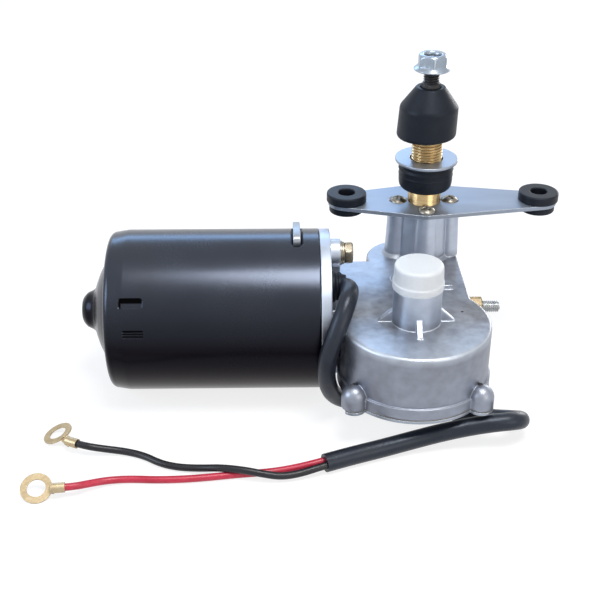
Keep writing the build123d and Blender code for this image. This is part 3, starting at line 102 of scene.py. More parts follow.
floor = new_mesh(
    "floor",
    [(-4, -4, floor_z), (4, -4, floor_z), (4, 4, floor_z), (-4, 4, floor_z)],
    [(0, 1, 2, 3)],
)
paper = bpy.data.materials.new("backdrop_paper")
paper.use_nodes = True
tree = paper.node_tree
tree.nodes.clear()
lit = tree.nodes.new("ShaderNodeBsdfDiffuse")
lit.inputs["Color"].default_value = (0.86, 0.86, 0.87, 1)
glow = tree.nodes.new("ShaderNodeEmission")
glow.inputs["Strength"].default_value = 1.14
share = tree.nodes.new("ShaderNodeMath")
share.operation = "MULTIPLY"
share.inputs[1].default_value = 0.70
blend = tree.nodes.new("ShaderNodeMixShader")
out = tree.nodes.new("ShaderNodeOutputMaterial")
tree.links.new(seen_white(tree), share.inputs[0])
tree.links.new(share.outputs[0], blend.inputs[0])
tree.links.new(lit.outputs[0], blend.inputs[1])
tree.links.new(glow.outputs[0], blend.inputs[2])
tree.links.new(blend.outputs[0], out.inputs[0])
floor.data.materials.append(paper)

world = bpy.data.worlds.new("studio")
scene.world = world
world.use_nodes = True
tree = world.node_tree
tree.nodes.clear()
plain = tree.nodes.new("ShaderNodeBackground")
plain.inputs["Color"].default_value = (0.92, 0.945, 0.975, 1)
plain.inputs["Strength"].default_value = 0.36
white = tree.nodes.new("ShaderNodeBackground")
white.inputs["Color"].default_value = (1, 1, 1, 1)
white.inputs["Strength"].default_value = 1.0
blend = tree.nodes.new("ShaderNodeMixShader")
out = tree.nodes.new("ShaderNodeOutputWorld")
tree.links.new(seen_white(tree), blend.inputs[0])
tree.links.new(plain.outputs[0], blend.inputs[1])
tree.links.new(white.outputs[0], blend.inputs[2])
tree.links.new(blend.outputs[0], out.inputs[0])


def soft_light(name, place, target, size, watts, colour):
    """Rectangular area lamp at a place, facing a target; size is width and height."""
    lamp = bpy.data.lights.new(name, "AREA")
    lamp.shape = "RECTANGLE"
    lamp.size, lamp.size_y = size
    lamp.energy, lamp.color = watts, colour
    thing = bpy.data.objects.new(name, lamp)
    facing = (Vector(place) - Vector(target)).to_track_quat("Z", "Y").to_matrix().to_4x4()
    thing.matrix_world = Matrix.Translation(place) @ facing
    scene.collection.objects.link(thing)


for lamp_row in (
    ("above", (0.10, -0.31, 1.00), (-0.02, -0.05, -0.02), (0.46, 0.38), 9.0, (1.0, 0.99, 0.97)),
    ("behind", (-0.26, 1.20, 0.60), (-0.10, -0.04, -0.02), (1.0, 0.26), 4.7, (0.36, 0.62, 1.0)),
    ("left", (-1.00, -0.35, 0.45), (-0.04, -0.05, 0.0), (0.5, 0.5), 5.0, (0.70, 0.83, 1.0)),
    ("right_behind", (0.75, 1.10, 0.14), (0.02, -0.05, -0.03), (0.5, 0.3), 4.0, (1.0, 1.0, 1.0)),
    ("front_right", (0.60, -0.85, 0.30), (-0.02, -0.05, -0.03), (0.6, 0.6), 2.4, (1.0, 0.92, 0.84)),
):
    soft_light(*lamp_row)


# Cable sleeve
# One black PVC sleeve over both wires.  It leaves a rubber grommet on the motor flange,
# drops in front of the gearbox, runs under it, folds back and lies on the floor.

def finish(name, colour, rough, other=None, metal=0.0, vary=0.12, patch=45.0, speck=1100.0,
           bump=0.12, bump_size=1400.0, bump_depth=0.00004, wear=None, edge=0.0004, coat=0.0,
           stretch=None, specular=0.5, dust=None, shine=None):
    """Material: two tints mixed by a broad and a fine noise, roughness and bump from noise,
    a wear colour where the rounded-edge normal leaves the face's own normal, and dust
    where a second broad noise is high."""
    material = bpy.data.materials.new(name)
    material.use_nodes = True
    nodes, links = material.node_tree.nodes, material.node_tree.links
    shader = nodes["Principled BSDF"]
    shader.inputs["Metallic"].default_value = metal
    shader.inputs["Coat Weight"].default_value = coat
    shader.inputs["Coat Roughness"].default_value = 0.12
    shader.inputs["Specular IOR Level"].default_value = specular
    if shine is not None:
        shader.inputs["Specular Tint"].default_value = (*shine, 1)
    place = nodes.new("ShaderNodeTexCoord").outputs["Object"]
    if stretch is not None:
        mapping = nodes.new("ShaderNodeMapping")
        mapping.inputs["Scale"].default_value = stretch
        links.new(place, mapping.inputs["Vector"])
        place = mapping.outputs["Vector"]
    broad = nodes.new("ShaderNodeTexNoise")
    broad.inputs["Scale"].default_value = patch
    broad.inputs["Detail"].default_value = 5.0
    fine = nodes.new("ShaderNodeTexNoise")
    fine.inputs["Scale"].default_value = speck
    fine.inputs["Detail"].default_value = 3.0
    for noise in (broad, fine):
        links.new(place, noise.inputs["Vector"])
    both = nodes.new("ShaderNodeMix")
    both.data_type = "FLOAT"
    both.inputs["Factor"].default_value = 0.4
    links.new(broad.outputs["Fac"], both.inputs["A"])
    links.new(fine.outputs["Fac"], both.inputs["B"])
    tint = nodes.new("ShaderNodeMix")
    tint.data_type = "RGBA"
    low = colour if other is not None else [c * (1 - vary) for c in colour]
    high = other if other is not None else [min(1.0, c * (1 + vary)) for c in colour]
    tint.inputs["A"].default_value = (*low, 1)
    tint.inputs["B"].default_value = (*high, 1)
    reach = nodes.new("ShaderNodeMapRange")
    reach.inputs["From Min"].default_value = 0.34
    reach.inputs["From Max"].default_value = 0.66
    links.new(both.outputs["Result"], reach.inputs["Value"])
    links.new(reach.outputs["Result"], tint.inputs["Factor"])
    colour_out = tint.outputs["Result"]
    gloss = nodes.new("ShaderNodeMapRange")
    gloss.inputs["To Min"].default_value = rough * 0.86
    gloss.inputs["To Max"].default_value = min(1.0, rough * 1.16)
    links.new(reach.outputs["Result"], gloss.inputs["Value"])
    links.new(gloss.outputs["Result"], shader.inputs["Roughness"])
    if dust is not None:
        cloud = nodes.new("ShaderNodeTexNoise")
        cloud.inputs["Scale"].default_value = patch * 0.55
        cloud.inputs["Detail"].default_value = 6.0
        cloud.inputs["Distortion"].default_value = 0.6
        links.new(place, cloud.inputs["Vector"])
        lying = nodes.new("ShaderNodeMapRange")
        lying.inputs["From Min"].default_value = 0.50
        lying.inputs["From Max"].default_value = 0.72
        lying.inputs["To Max"].default_value = 0.55
        links.new(cloud.outputs["Fac"], lying.inputs["Value"])
        spread = nodes.new("ShaderNodeMix")
        spread.data_type = "RGBA"
        spread.inputs["B"].default_value = (*dust, 1)
        links.new(colour_out, spread.inputs["A"])
        links.new(lying.outputs["Result"], spread.inputs["Factor"])
        colour_out = spread.outputs["Result"]
    round_edge = nodes.new("ShaderNodeBevel")
    round_edge.samples = 6
    round_edge.inputs["Radius"].default_value = edge
    if wear is not None:
        flat = nodes.new("ShaderNodeNewGeometry")
        dot = nodes.new("ShaderNodeVectorMath")
        dot.operation = "DOT_PRODUCT"
        links.new(round_edge.outputs["Normal"], dot.inputs[0])
        links.new(flat.outputs["Normal"], dot.inputs[1])
        worn = nodes.new("ShaderNodeMapRange")
        worn.inputs["From Min"].default_value = 0.985
        worn.inputs["From Max"].default_value = 0.80
        links.new(dot.outputs["Value"], worn.inputs["Value"])
        rub = nodes.new("ShaderNodeMix")
        rub.data_type = "RGBA"
        rub.inputs["B"].default_value = (*wear, 1)
        links.new(colour_out, rub.inputs["A"])
        links.new(worn.outputs["Result"], rub.inputs["Factor"])
        colour_out = rub.outputs["Result"]
    links.new(colour_out, shader.inputs["Base Color"])
    rough_skin = nodes.new("ShaderNodeTexNoise")
    rough_skin.inputs["Scale"].default_value = bump_size
    rough_skin.inputs["Detail"].default_value = 4.0
    links.new(place, rough_skin.inputs["Vector"])
    raised = nodes.new("ShaderNodeBump")
    raised.inputs["Strength"].default_value = bump
    raised.inputs["Distance"].default_value = bump_depth
    links.new(rough_skin.outputs["Fac"], raised.inputs["Height"])
    links.new(round_edge.outputs["Normal"], raised.inputs["Normal"])
    links.new(raised.outputs["Normal"], shader.inputs["Normal"])
    return material


def cord_curve(name, points_mm, radius, material):
    """Round cord along a smooth curve whose control points are the route's points."""
    curve = bpy.data.curves.new(name, "CURVE")
    curve.dimensions = "3D"
    spline = curve.splines.new("NURBS")
    spline.points.add(len(points_mm) - 1)
    for point, place in zip(spline.points, points_mm):
        point.co = (*[c / 1000 for c in place], 1)
    spline.order_u = 3
    spline.use_endpoint_u = True
    curve.resolution_u = 12
    curve.bevel_depth = radius
    curve.bevel_resolution = 7
    curve.use_fill_caps = True
    curve.materials.append(material)
    thing = bpy.data.objects.new(name, curve)
    scene.collection.objects.link(thing)
    return thing


cable_r = 0.00435
cable_z = -78.62
cable_route = [
    (-55.0, -55.0, -20.5),
    (-46.3, -55.0, -20.5),
    (-41.3, -60.8, -17.6),
    (-42.6, -74.5, -16.0),
    (-48.2, -84.4, -27.5),
    (-53.2, -85.4, -43.0),
    (-52.6, -80.8, -60.5),
    (-47.0, -71.5, -74.2),
    (-34.0, -68.2, cable_z),
    (-14.0, -70.2, cable_z),
    (6.0, -76.2, cable_z),
    (24.0, -82.6, cable_z),
    (36.0, -84.0, cable_z),
    (41.0, -91.15, -74.1),
    (36.0, -98.3, -69.6),
    (25.5, -99.0, -70.2),
    (14.0, -98.5, -72.6),
    (0.0, -99.7, -75.2),
    (-14.3, -102.4, -77.6),
    (-28.6, -107.0, cable_z),
    (-42.25, -112.07, cable_z),
    (-54.7, -117.3, cable_z),
]
sleeve_pvc = finish("sleeve_pvc", (0.0055, 0.0068, 0.0115), 0.36, other=(0.0125, 0.0150, 0.0240),
                    patch=70.0, bump=0.35, bump_size=420.0, bump_depth=0.0003, edge=0.0002,
                    specular=0.42, dust=(0.020, 0.020, 0.024), shine=(0.76, 0.86, 1.0))
sleeve = cord_curve("cable_sleeve_cord", cable_route, cable_r, sleeve_pvc)
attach(sleeve, "base")
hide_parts("cable_sleeve")


# Black and red wires
# Two stranded wires with PVC insulation leave the open end of the sleeve, cross once,
# black over red, and end in crimped ring terminals.

wire_r = 0.0017
wire_z = -81.27
black_route = [
    (-49.4, -117.03, cable_z),
    (-56.5, -120.01, cable_z),
    (-66.0, -123.0, -80.0),
    (-74.5, -124.8, -80.2),
    (-82.5, -124.5, -79.0),
    (-91.0, -123.1, -77.75),
    (-102.0, -120.9, -77.85),
    (-112.0, -117.6, -80.6),
    (-122.0, -115.9, wire_z),
    (-130.4, -112.9, wire_z),
    (-138.4, -106.9, wire_z),
    (-147.5, -103.4, wire_z),
    (-157.8, -103.3, -79.7),
    (-166.5, -103.6, -77.7),
    (-173.0, -100.2, -77.9),
]
red_route = [
    (-50.8, -113.71, cable_z),
    (-57.9, -116.69, cable_z),
    (-67.5, -118.2, -80.3),
    (-79.0, -120.0, wire_z),
    (-94.0, -121.4, wire_z),
    (-114.0, -124.3, wire_z),
    (-130.0, -125.0, wire_z),
    (-143.2, -124.0, wire_z),
    (-153.0, -125.1, -81.0),
    (-160.4, -128.9, -79.6),
    (-167.2, -133.3, -77.9),
    (-174.1, -133.9, -77.9),
]
black_pvc = finish("black_wire_pvc", (0.008, 0.008, 0.011), 0.34, other=(0.017, 0.018, 0.023),
                   specular=0.35, bump=0.2, bump_size=700.0, bump_depth=0.0001, edge=0.0002)
red_pvc = finish("red_wire_pvc", (0.40, 0.012, 0.036), 0.36, other=(0.54, 0.028, 0.066),
                 patch=90.0, bump=0.2, bump_size=700.0, bump_depth=0.0001, edge=0.0002)
black_wire = cord_curve("black_wire_cord", black_route, wire_r, black_pvc)
red_wire = cord_curve("red_wire_cord", red_route, wire_r, red_pvc)
for wire, node, slot_name in (
    (black_wire, "black_wire", "wire_black"),
    (red_wire, "red_wire", "wire_red"),
):
    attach(wire, "base")
    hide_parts(node)


# Ring terminals
# Stamped brass eyes with a thin tin flash, crimped on the bared wire ends.

def dress(material, *nodes):
    """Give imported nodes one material."""
    for node in nodes:
        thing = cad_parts[node]
        thing.data.materials.clear()
        thing.data.materials.append(material)


tin_brass = finish("terminal_brass", (0.38, 0.29, 0.17), 0.38, other=(0.54, 0.44, 0.28),
                   metal=0.8, patch=140.0, wear=(0.70, 0.60, 0.42), edge=0.0002)
dress(tin_brass, "black_terminal", "red_terminal")


# Gear housing
# One aluminium die casting: gear chamber, neck, fluted column, wheel-shaft boss and motor
# flange.  The skin is as cast, dull and stained.  Its bright edges are partly fettled metal
# and partly painted highlight, and its colour carries painted light and shade.

cast = finish("die_cast_alloy", (0.205, 0.216, 0.250), 0.40, other=(0.490, 0.550, 0.645),
              metal=0.80, patch=19.0, speck=210.0, bump=0.30, bump_size=600.0,
              bump_depth=0.00010, wear=(0.62, 0.67, 0.74), edge=0.0010,
              dust=(0.235, 0.205, 0.190))
nodes, links = cast.node_tree.nodes, cast.node_tree.links
# Painted highlight: faces sloped between flat and upright, the fillets along the rims, are made
# lighter by their facing.
tilt = nodes.new("ShaderNodeSeparateXYZ")
links.new(nodes.new("ShaderNodeNewGeometry").outputs["Normal"], tilt.inputs["Vector"])
slope_highlight = nodes.new("ShaderNodeFloatCurve")
bend = slope_highlight.mapping.curves[0]
bend.points[0].location = (0.0, 0.0)
bend.points[1].location = (1.0, 0.0)
for slope, amount in ((0.30, 0.0), (0.55, 0.6), (0.85, 0.6), (0.97, 0.0)):
    bend.points.new(slope, amount)
slope_highlight.mapping.update()
links.new(tilt.outputs["Z"], slope_highlight.inputs["Value"])


def overlay(material, layers):
    """Tints laid over a material's base colour in turn: each is a blend mode, a colour and
    what steers it, a socket or an axis with its start, end and greatest amount."""
    nodes, links = material.node_tree.nodes, material.node_tree.links
    base = nodes["Principled BSDF"].inputs["Base Color"]
    place = nodes.new("ShaderNodeSeparateXYZ")
    links.new(nodes["Texture Coordinate"].outputs["Object"], place.inputs["Vector"])
    for mode, colour, steer in layers:
        layer = nodes.new("ShaderNodeMix")
        layer.data_type = "RGBA"
        layer.blend_type = mode
        layer.inputs["B"].default_value = (*colour, 1)
        links.new(base.links[0].from_socket, layer.inputs["A"])
        if isinstance(steer, tuple):
            axis, start, end, amount = steer
            ramp = nodes.new("ShaderNodeMapRange")
            ramp.inputs["From Min"].default_value = start
            ramp.inputs["From Max"].default_value = end
            ramp.inputs["To Max"].default_value = amount
            links.new(place.outputs[axis], ramp.inputs["Value"])
            steer = ramp.outputs["Result"]
        links.new(steer, layer.inputs["Factor"])
        links.new(layer.outputs["Result"], base)


# Painted light on the casting: a painted highlight on sloped faces, lighter and bluer towards the
# front and on everything above the roof, and painted shade that darkens the lower walls.
overlay(cast, [
    ("MIX", (0.44, 0.48, 0.54), slope_highlight.outputs["Value"]),
    ("MIX", (0.66, 0.73, 0.82), ("Y", -0.078, -0.100, 0.38)),
    ("MULTIPLY", (0.50, 0.49, 0.52), ("Z", -0.0305, -0.0350, 0.9)),
    ("MIX", (0.55, 0.62, 0.74), ("Z", -0.030, -0.026, 0.55)),
])
dress(cast, "gear_housing")


def skin(name, grid, loop=False, sharp=None):
    """Closed mesh of a (rows, steps, 3) grid of points: each row is a ring, and with loop
    the last row joins the first.  Points that fall together, as at a pole, are merged."""
    rows, steps = grid.shape[:2]
    index = np.arange(rows * steps).reshape(rows, steps)
    here = index if loop else index[:-1]
    after = np.roll(index, -1, axis=0) if loop else index[1:]
    quads = np.stack([here, np.roll(here, -1, 1), np.roll(after, -1, 1), after], axis=-1)
    thing = new_mesh(name, grid.reshape(-1, 3), quads.reshape(-1, 4))
    work = bmesh.new()
    work.from_mesh(thing.data)
    bmesh.ops.remove_doubles(work, verts=work.verts, dist=1e-7)
    bmesh.ops.recalc_face_normals(work, faces=work.faces)
    work.to_mesh(thing.data)
    work.free()
    if sharp is not None:
        thing.data.set_sharp_from_angle(angle=np.radians(sharp))
    return thing


def pebble(name, centre, half, power, material, body):
    """Closed rounded block: a super-ellipsoid, each axis a power of the sine and cosine of
    latitude and longitude times its half length."""
    lat = np.linspace(-np.pi / 2, np.pi / 2, 17)[:, None]
    lon = np.linspace(0, 2 * np.pi, 33)[None, :-1]
    cos_lat, sin_lat, cos_lon, sin_lon = [
        np.sign(wave) * np.abs(wave) ** power
        for wave in (np.cos(lat), np.sin(lat), np.cos(lon), np.sin(lon))
    ]
    x = half[0] * cos_lat * cos_lon
    y = half[1] * cos_lat * sin_lon
    z = half[2] * sin_lat * np.ones_like(lon)
    thing = skin(name, np.stack([x, y, z], axis=-1) + np.array(centre))
    thing.data.materials.append(material)
    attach(thing, body)


roof_z = -0.0305
for number, (x, y, half_x, half_y) in enumerate((
    (0.0088, -0.0370, 0.0030, 0.0006),
    (0.0088, -0.0409, 0.0030, 0.0006),
    (-0.0184, -0.0294, 0.0007, 0.0026),
)):
    pebble(f"cast_rib_{number}", (x, y, roof_z), (half_x, half_y, 0.0006), 0.6, cast,
           "base")
# Painted shade: dark flat spots stand for the shade in a casting pore and in the two dimples on the
# ears.
hollow_shade_black = finish("painted_hollow_shade", (0.012, 0.012, 0.014), 0.8)
pebble("casting_pore_0", (0.0129, -0.0629, roof_z), (0.0007, 0.0006, 0.00012), 1.0, hollow_shade_black,
       "base")
for number, (x, y) in enumerate(((-0.0398, -0.0926), (0.0186, -0.0935))):
    pebble(f"ear_dimple_shade_{number}", (x, y, -0.0520), (0.0011, 0.0012, 0.0005), 1.0, hollow_shade_black,
           "base")


# Cover, gasket and cover screws
# A zinc-plated steel sheet closes the gearbox from below over a cork-rubber gasket; four
# pan-head screws go up into the ears.

zinc = finish("zinc_plate", (0.270, 0.305, 0.365), 0.36, other=(0.360, 0.405, 0.470),
              metal=0.85, patch=24.0, speck=1900.0, bump=0.16, bump_size=1700.0,
              wear=(0.66, 0.71, 0.78), edge=0.0004, dust=(0.26, 0.275, 0.30))
cork = finish("cork_rubber", (0.085, 0.070, 0.055), 0.75, other=(0.15, 0.12, 0.09),
              bump=0.5, bump_size=900.0, bump_depth=0.0002)
dress(zinc, "cover_plate", "cover_screws")
dress(cork, "cover_gasket")


# Worm drive and linkage inside
# Nylon wheel on a steel hub, ground worm, forged rocker, pressed rod and bronze bearings,
# each oiled and only lightly marked.

steel = finish("bright_steel", (0.42, 0.42, 0.43), 0.26, other=(0.56, 0.56, 0.57), metal=1.0,
               patch=80.0, wear=(0.78, 0.78, 0.79), edge=0.0002)
oxide = finish("black_oxide", (0.013, 0.013, 0.016), 0.33, other=(0.030, 0.030, 0.034),
               metal=0.4, bump=0.2, wear=(0.10, 0.10, 0.105), edge=0.00025)
bronze = finish("sintered_bronze", (0.34, 0.21, 0.10), 0.48, other=(0.48, 0.31, 0.15),
                metal=0.85, bump=0.5, bump_size=2400.0)
nylon = finish("gear_nylon", (0.70, 0.65, 0.52), 0.42, other=(0.80, 0.76, 0.65), patch=60.0)
dress(nylon, "worm_wheel")
dress(steel, "wheel_hub", "wheel_shaft", "wheel_washer", "crank_pin", "rocker_arm",
      "rocker_pin", "connecting_rod", "worm", "thrust_pad")
dress(oxide, "wheel_clip", "rocker_pin_clip", "spindle_clip")
dress(bronze, "wheel_bush", "rod_bushes", "spindle_bushes", "front_bearing", "end_bearing",
      "rear_bush")


# Rotor and brush gear
# Varnished lamination stack with enamelled winding, copper commutator, ferrite magnets
# and a phenolic card with folded brass brush boxes.

sheets = finish("lamination", (0.22, 0.22, 0.24), 0.42, other=(0.34, 0.34, 0.36), metal=0.9,
                stretch=(14.0, 1.0, 1.0), patch=60.0)
copper = finish("enamelled_copper", (0.40, 0.13, 0.045), 0.28, other=(0.60, 0.22, 0.08),
                metal=0.9, bump=0.6, bump_size=900.0, bump_depth=0.0003)
ferrite = finish("ferrite", (0.040, 0.040, 0.045), 0.55, other=(0.070, 0.070, 0.075), metal=0.2)
phenolic = finish("phenolic", (0.24, 0.115, 0.045), 0.52, other=(0.38, 0.20, 0.08))
carbon = finish("carbon", (0.024, 0.024, 0.026), 0.42, other=(0.045, 0.045, 0.048), metal=0.3)
dress(steel, "rotor_shaft", "brush_springs", "bush_retainer")
dress(sheets, "rotor_core")
dress(copper, "rotor_winding", "commutator")
dress(ferrite, "magnets")
dress(phenolic, "brush_card")
dress(tin_brass, "brush_boxes")
dress(carbon, "carbon_brushes")
dress(zinc, "end_shield")


# Motor can
# Deep-drawn steel with a stepped bearing cup, stove-enamelled in satin black.  Two
# recesses are pressed in beside the cup end, and a window takes the cast lug.

axis_y = -0.0364
axis_z = -0.0429


def eased(corners, radius, steps=4, closed=True):
    """Section with rounded corners: each corner becomes a quadratic curve between points
    one radius before and after it, and a point just outside the curve holds the flat."""
    corner = np.array(corners, float)
    back = np.roll(corner, 1, axis=0) - corner
    on = np.roll(corner, -1, axis=0) - corner
    back_long = np.linalg.norm(back, axis=1)[:, None]
    on_long = np.linalg.norm(on, axis=1)[:, None]
    wish = np.broadcast_to(np.asarray(radius, float).reshape(-1, 1), (len(corner), 1))
    first = corner + back / back_long * np.minimum(wish, 0.42 * back_long)
    last = corner + on / on_long * np.minimum(wish, 0.42 * on_long)
    t = np.linspace(0, 1, steps + 1)[:, None, None]
    curve = (1 - t) ** 2 * first + 2 * t * (1 - t) * corner + t ** 2 * last
    hold_first = corner + (first - corner) * 1.15
    hold_last = corner + (last - corner) * 1.15
    whole = np.concatenate([hold_first[None], curve, hold_last[None]]).transpose(1, 0, 2)
    if closed:
        return whole.reshape(-1, 2)
    return np.concatenate([corner[:1], whole[1:-1].reshape(-1, 2), corner[-1:]])


def around_x(along, radius, angle):
    """Points round the motor's axis: the angle climbs from the front over the top."""
    y = axis_y - radius * np.cos(angle)
    z = axis_z + radius * np.sin(angle)
    return np.stack([along, y, z], axis=-1)


def step_up(value, edge, width):
    """Smooth step from nought below an edge to one above it."""
    t = np.clip((value - edge) / width + 0.5, 0, 1)
    return t * t * (3 - 2 * t)


def share_of(arc, ends):
    """How far a place lies along an arc between two ends: nought at the first, one at the
    second."""
    return (arc - ends[0]) / (ends[1] - ends[0])


def pressed(x, arc, x0, x1, arc0, arc1, corner):
    """One inside a rounded rectangle drawn on the can, nought outside: from the distance
    to its outline."""
    mid_x, mid_arc = (x0 + x1) / 2, (arc0 + arc1) / 2
    reach_x = np.maximum(np.abs(x - mid_x) - (x1 - x0) / 2 + corner, 0)
    reach_arc = np.maximum(np.abs(arc - mid_arc) - (arc1 - arc0) / 2 + corner, 0)
    return 1 - step_up(np.hypot(reach_x, reach_arc) - corner, 0, 0.0003)


can_r = 0.0401
can_wall = 0.0016
can_mouth = -0.0550
can_end = -0.1585
taper_r = 0.0392
corner_long, corner_deep = 0.0034, 0.0034
swing = np.linspace(0, np.pi / 2, 13)
rounded_end = np.stack(
    [can_end + corner_long * (1 - np.sin(swing)), taper_r - corner_deep * (1 - np.cos(swing))],
    axis=-1,
)
cup = eased(
    [
        (can_end, 0.0325), (-0.1583, 0.0298), (-0.1578, 0.0294), (-0.1588, 0.0286),
        (-0.1600, 0.0262), (-0.1614, 0.0238), (-0.1636, 0.0196), (-0.1653, 0.0152),
        (-0.1667, 0.0112), (-0.1682, 0.0099), (-0.1710, 0.0087), (-0.1727, 0.0068),
        (-0.1735, 0.0052), (-0.1735, 0.0),
    ],
    0.0010, steps=3, closed=False,
)
fine_x = np.concatenate([
    np.linspace(can_mouth, -0.0700, 26)[:-1],
    np.linspace(-0.0700, -0.1380, 40)[:-1],
    np.linspace(-0.1380, -0.1485, 70),
    np.linspace(-0.1486, can_end + corner_long, 24)[:-1],
])
barrel_r = can_r - (can_r - taper_r) * np.clip((-0.1490 - fine_x) / 0.0061, 0, 1) ** 1.3
barrel = np.stack([fine_x, barrel_r], axis=-1)
barrel[0, 1] = can_r - 0.0003
inside = np.array([
    (-0.1719, 0.0), (-0.1713, 0.0046), (-0.1662, 0.0102), (-0.1610, 0.0198), (-0.1588, 0.0230),
    (can_end + can_wall, 0.0330), (can_end + corner_long, taper_r - can_wall),
    (can_mouth, can_r - can_wall),
])
profile = np.concatenate([inside, barrel, rounded_end, cup])
fine_angle = np.unique(np.round(np.concatenate([
    np.radians(np.linspace(0, 360, 181)[:-1]),
    np.radians(np.linspace(7.5, 17.0, 58)),
    np.radians(np.linspace(28.0, 39.0, 66)),
    np.radians(np.linspace(76.0, 114.0, 60)),
]), 5))
x, angle = np.meshgrid(profile[:, 0], fine_angle, indexing="ij")
radius = np.repeat(profile[:, 1:], len(fine_angle), axis=1)
on_outside = (np.arange(len(profile)) >= len(inside))[:, None]
arc = can_r * angle
slot_arc = can_r * np.radians([29.9, 37.1])
louvre_arc = can_r * np.radians([9.3, 15.1])
window_arc = can_r * np.radians([77.9, 112.1])
louvre_box = (-0.1490, -0.1392, *louvre_arc, 0.0007)
window_box = (-0.0687, -0.0639, *window_arc, 0.0020)
slot_depth, louvre_depth, window_depth = 0.0011, 0.00085, 0.0013
slant = np.clip(share_of(arc, slot_arc), 0, 1)
three_ribs = 0.5 - 0.5 * np.cos(6 * np.pi * share_of(arc, louvre_arc))
sunk = slot_depth * pressed(x, arc, -0.1508, -0.1393, *slot_arc, 0.0014) * (0.30 + 0.70 * slant)
sunk += louvre_depth * pressed(x, arc, *louvre_box) * (0.35 + 0.65 * three_ribs)
sunk += window_depth * pressed(x, arc, *window_box)
radius = radius - sunk * on_outside
# These colours are the can's top lit by a painted sheen; the overlay further down darkens them.
can_paint = finish("can_paint", (0.043, 0.050, 0.066), 0.25, other=(0.052, 0.060, 0.079),
                   metal=0.9, patch=28.0, speck=2200.0, bump=0.18, bump_size=1500.0,
                   bump_depth=0.00006, edge=0.0004, specular=0.2, dust=(0.058, 0.060, 0.068))
can = skin("motor_can_shell", around_x(x, radius, angle))
can.data.materials.append(can_paint)
# Painted shade: a mask of the slot's upper part, the louvre's gaps and the lug window, which
# darkens the enamel there.
spots = np.empty(len(can.data.vertices) * 3)
can.data.vertices.foreach_get("co", spots)
at_x, at_y, at_z = spots.reshape(-1, 3).T
at_arc = can_r * np.mod(np.arctan2(at_z - axis_z, axis_y - at_y), 2 * np.pi)
outside = np.hypot(at_z - axis_z, at_y - axis_y) > can_r - 0.0024
climb = np.clip(share_of(at_arc, slot_arc), 0, 1)
wave = 0.5 - 0.5 * np.cos(6 * np.pi * share_of(at_arc, louvre_arc))
left_end = step_up(-at_x, 0.1494, 0.0006)
recess_shade = pressed(at_x, at_arc, -0.1506, -0.1395, *slot_arc, 0.0014)
recess_shade = recess_shade * np.maximum(step_up(climb, 0.50, 0.16), left_end)
recess_shade += 0.9 * pressed(at_x, at_arc, *louvre_box) * wave ** 2
recess_shade += pressed(at_x, at_arc, *window_box)
recess_shade_layer = can.data.attributes.new("in_shade", "FLOAT", "POINT")
recess_shade_layer.data.foreach_set("value", np.clip(recess_shade * outside, 0, 1))

# Enamel with painted light: lighter and bluer on top as a painted sheen, darker and brownish
# underneath as a painted reflection of the warm floor, and dark in the recesses as painted shade.
recess_shade_reader = can_paint.node_tree.nodes.new("ShaderNodeAttribute")
recess_shade_reader.attribute_name = "in_shade"
overlay(can_paint, [
    ("MIX", (0.0085, 0.0080, 0.0115), ("Z", -0.010, -0.042, 1.0)),
    ("MIX", (0.0190, 0.0120, 0.0105), ("Z", -0.050, -0.078, 0.9)),
    ("MIX", (0.0008, 0.0008, 0.0010), recess_shade_reader.outputs["Fac"]),
])
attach(can, "base")
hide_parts("motor_can")
lug_alloy = finish("lug_alloy", (0.26, 0.285, 0.32), 0.38, other=(0.36, 0.39, 0.43), metal=0.8,
                   wear=(0.56, 0.60, 0.66), edge=0.0008)
dress(lug_alloy, "locating_lug")


# Flange bolts and washers
# Hexagon bolts, yellow passivated, each over a split washer and a plain one, pull the
# can to the gear housing.

def hexed(angle, flats):
    """Radius of a hexagon of a size across flats at each angle."""
    sector = np.mod(angle, np.pi / 3) - np.pi / 6
    return flats / 2 / np.cos(sector)


def hex_on_x(name, rings, z, loop=False):
    """Hexagon turned at its corners, lying along X in the motor's plane: each ring is a
    (place, limit) pair, and its radius is the hexagon's or the limit, whichever is less."""
    angle = np.linspace(0, 2 * np.pi, 120, endpoint=False)
    ring = np.array(rings, float)
    radius = np.minimum(hexed(angle, bolt_flats)[None, :], ring[:, 1:2])
    along = np.repeat(ring[:, :1], 120, axis=1)
    across_y = axis_y + radius * np.cos(angle + np.pi / 6)
    up = z + radius * np.sin(angle + np.pi / 6)
    return skin(name, np.stack([along, across_y, up], axis=-1), loop=loop, sharp=32)


def turned_on_x(name, ring, y, z, sharp=None):
    """Surface of revolution: each (place, radius) point of a closed section runs round a
    line along X."""
    angle = np.linspace(0, 2 * np.pi, 72, endpoint=False)
    grid = np.stack([
        np.repeat(ring[:, :1], 72, axis=1),
        y + ring[:, 1:] * np.cos(angle),
        z + ring[:, 1:] * np.sin(angle),
    ], axis=-1)
    return skin(name, grid, loop=True, sharp=sharp)


def pin_down(piece, material, body, slot_name, *nodes):
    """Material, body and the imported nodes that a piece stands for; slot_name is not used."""
    piece.data.materials.append(material)
    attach(piece, body)
    if nodes:
        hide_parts(*nodes)


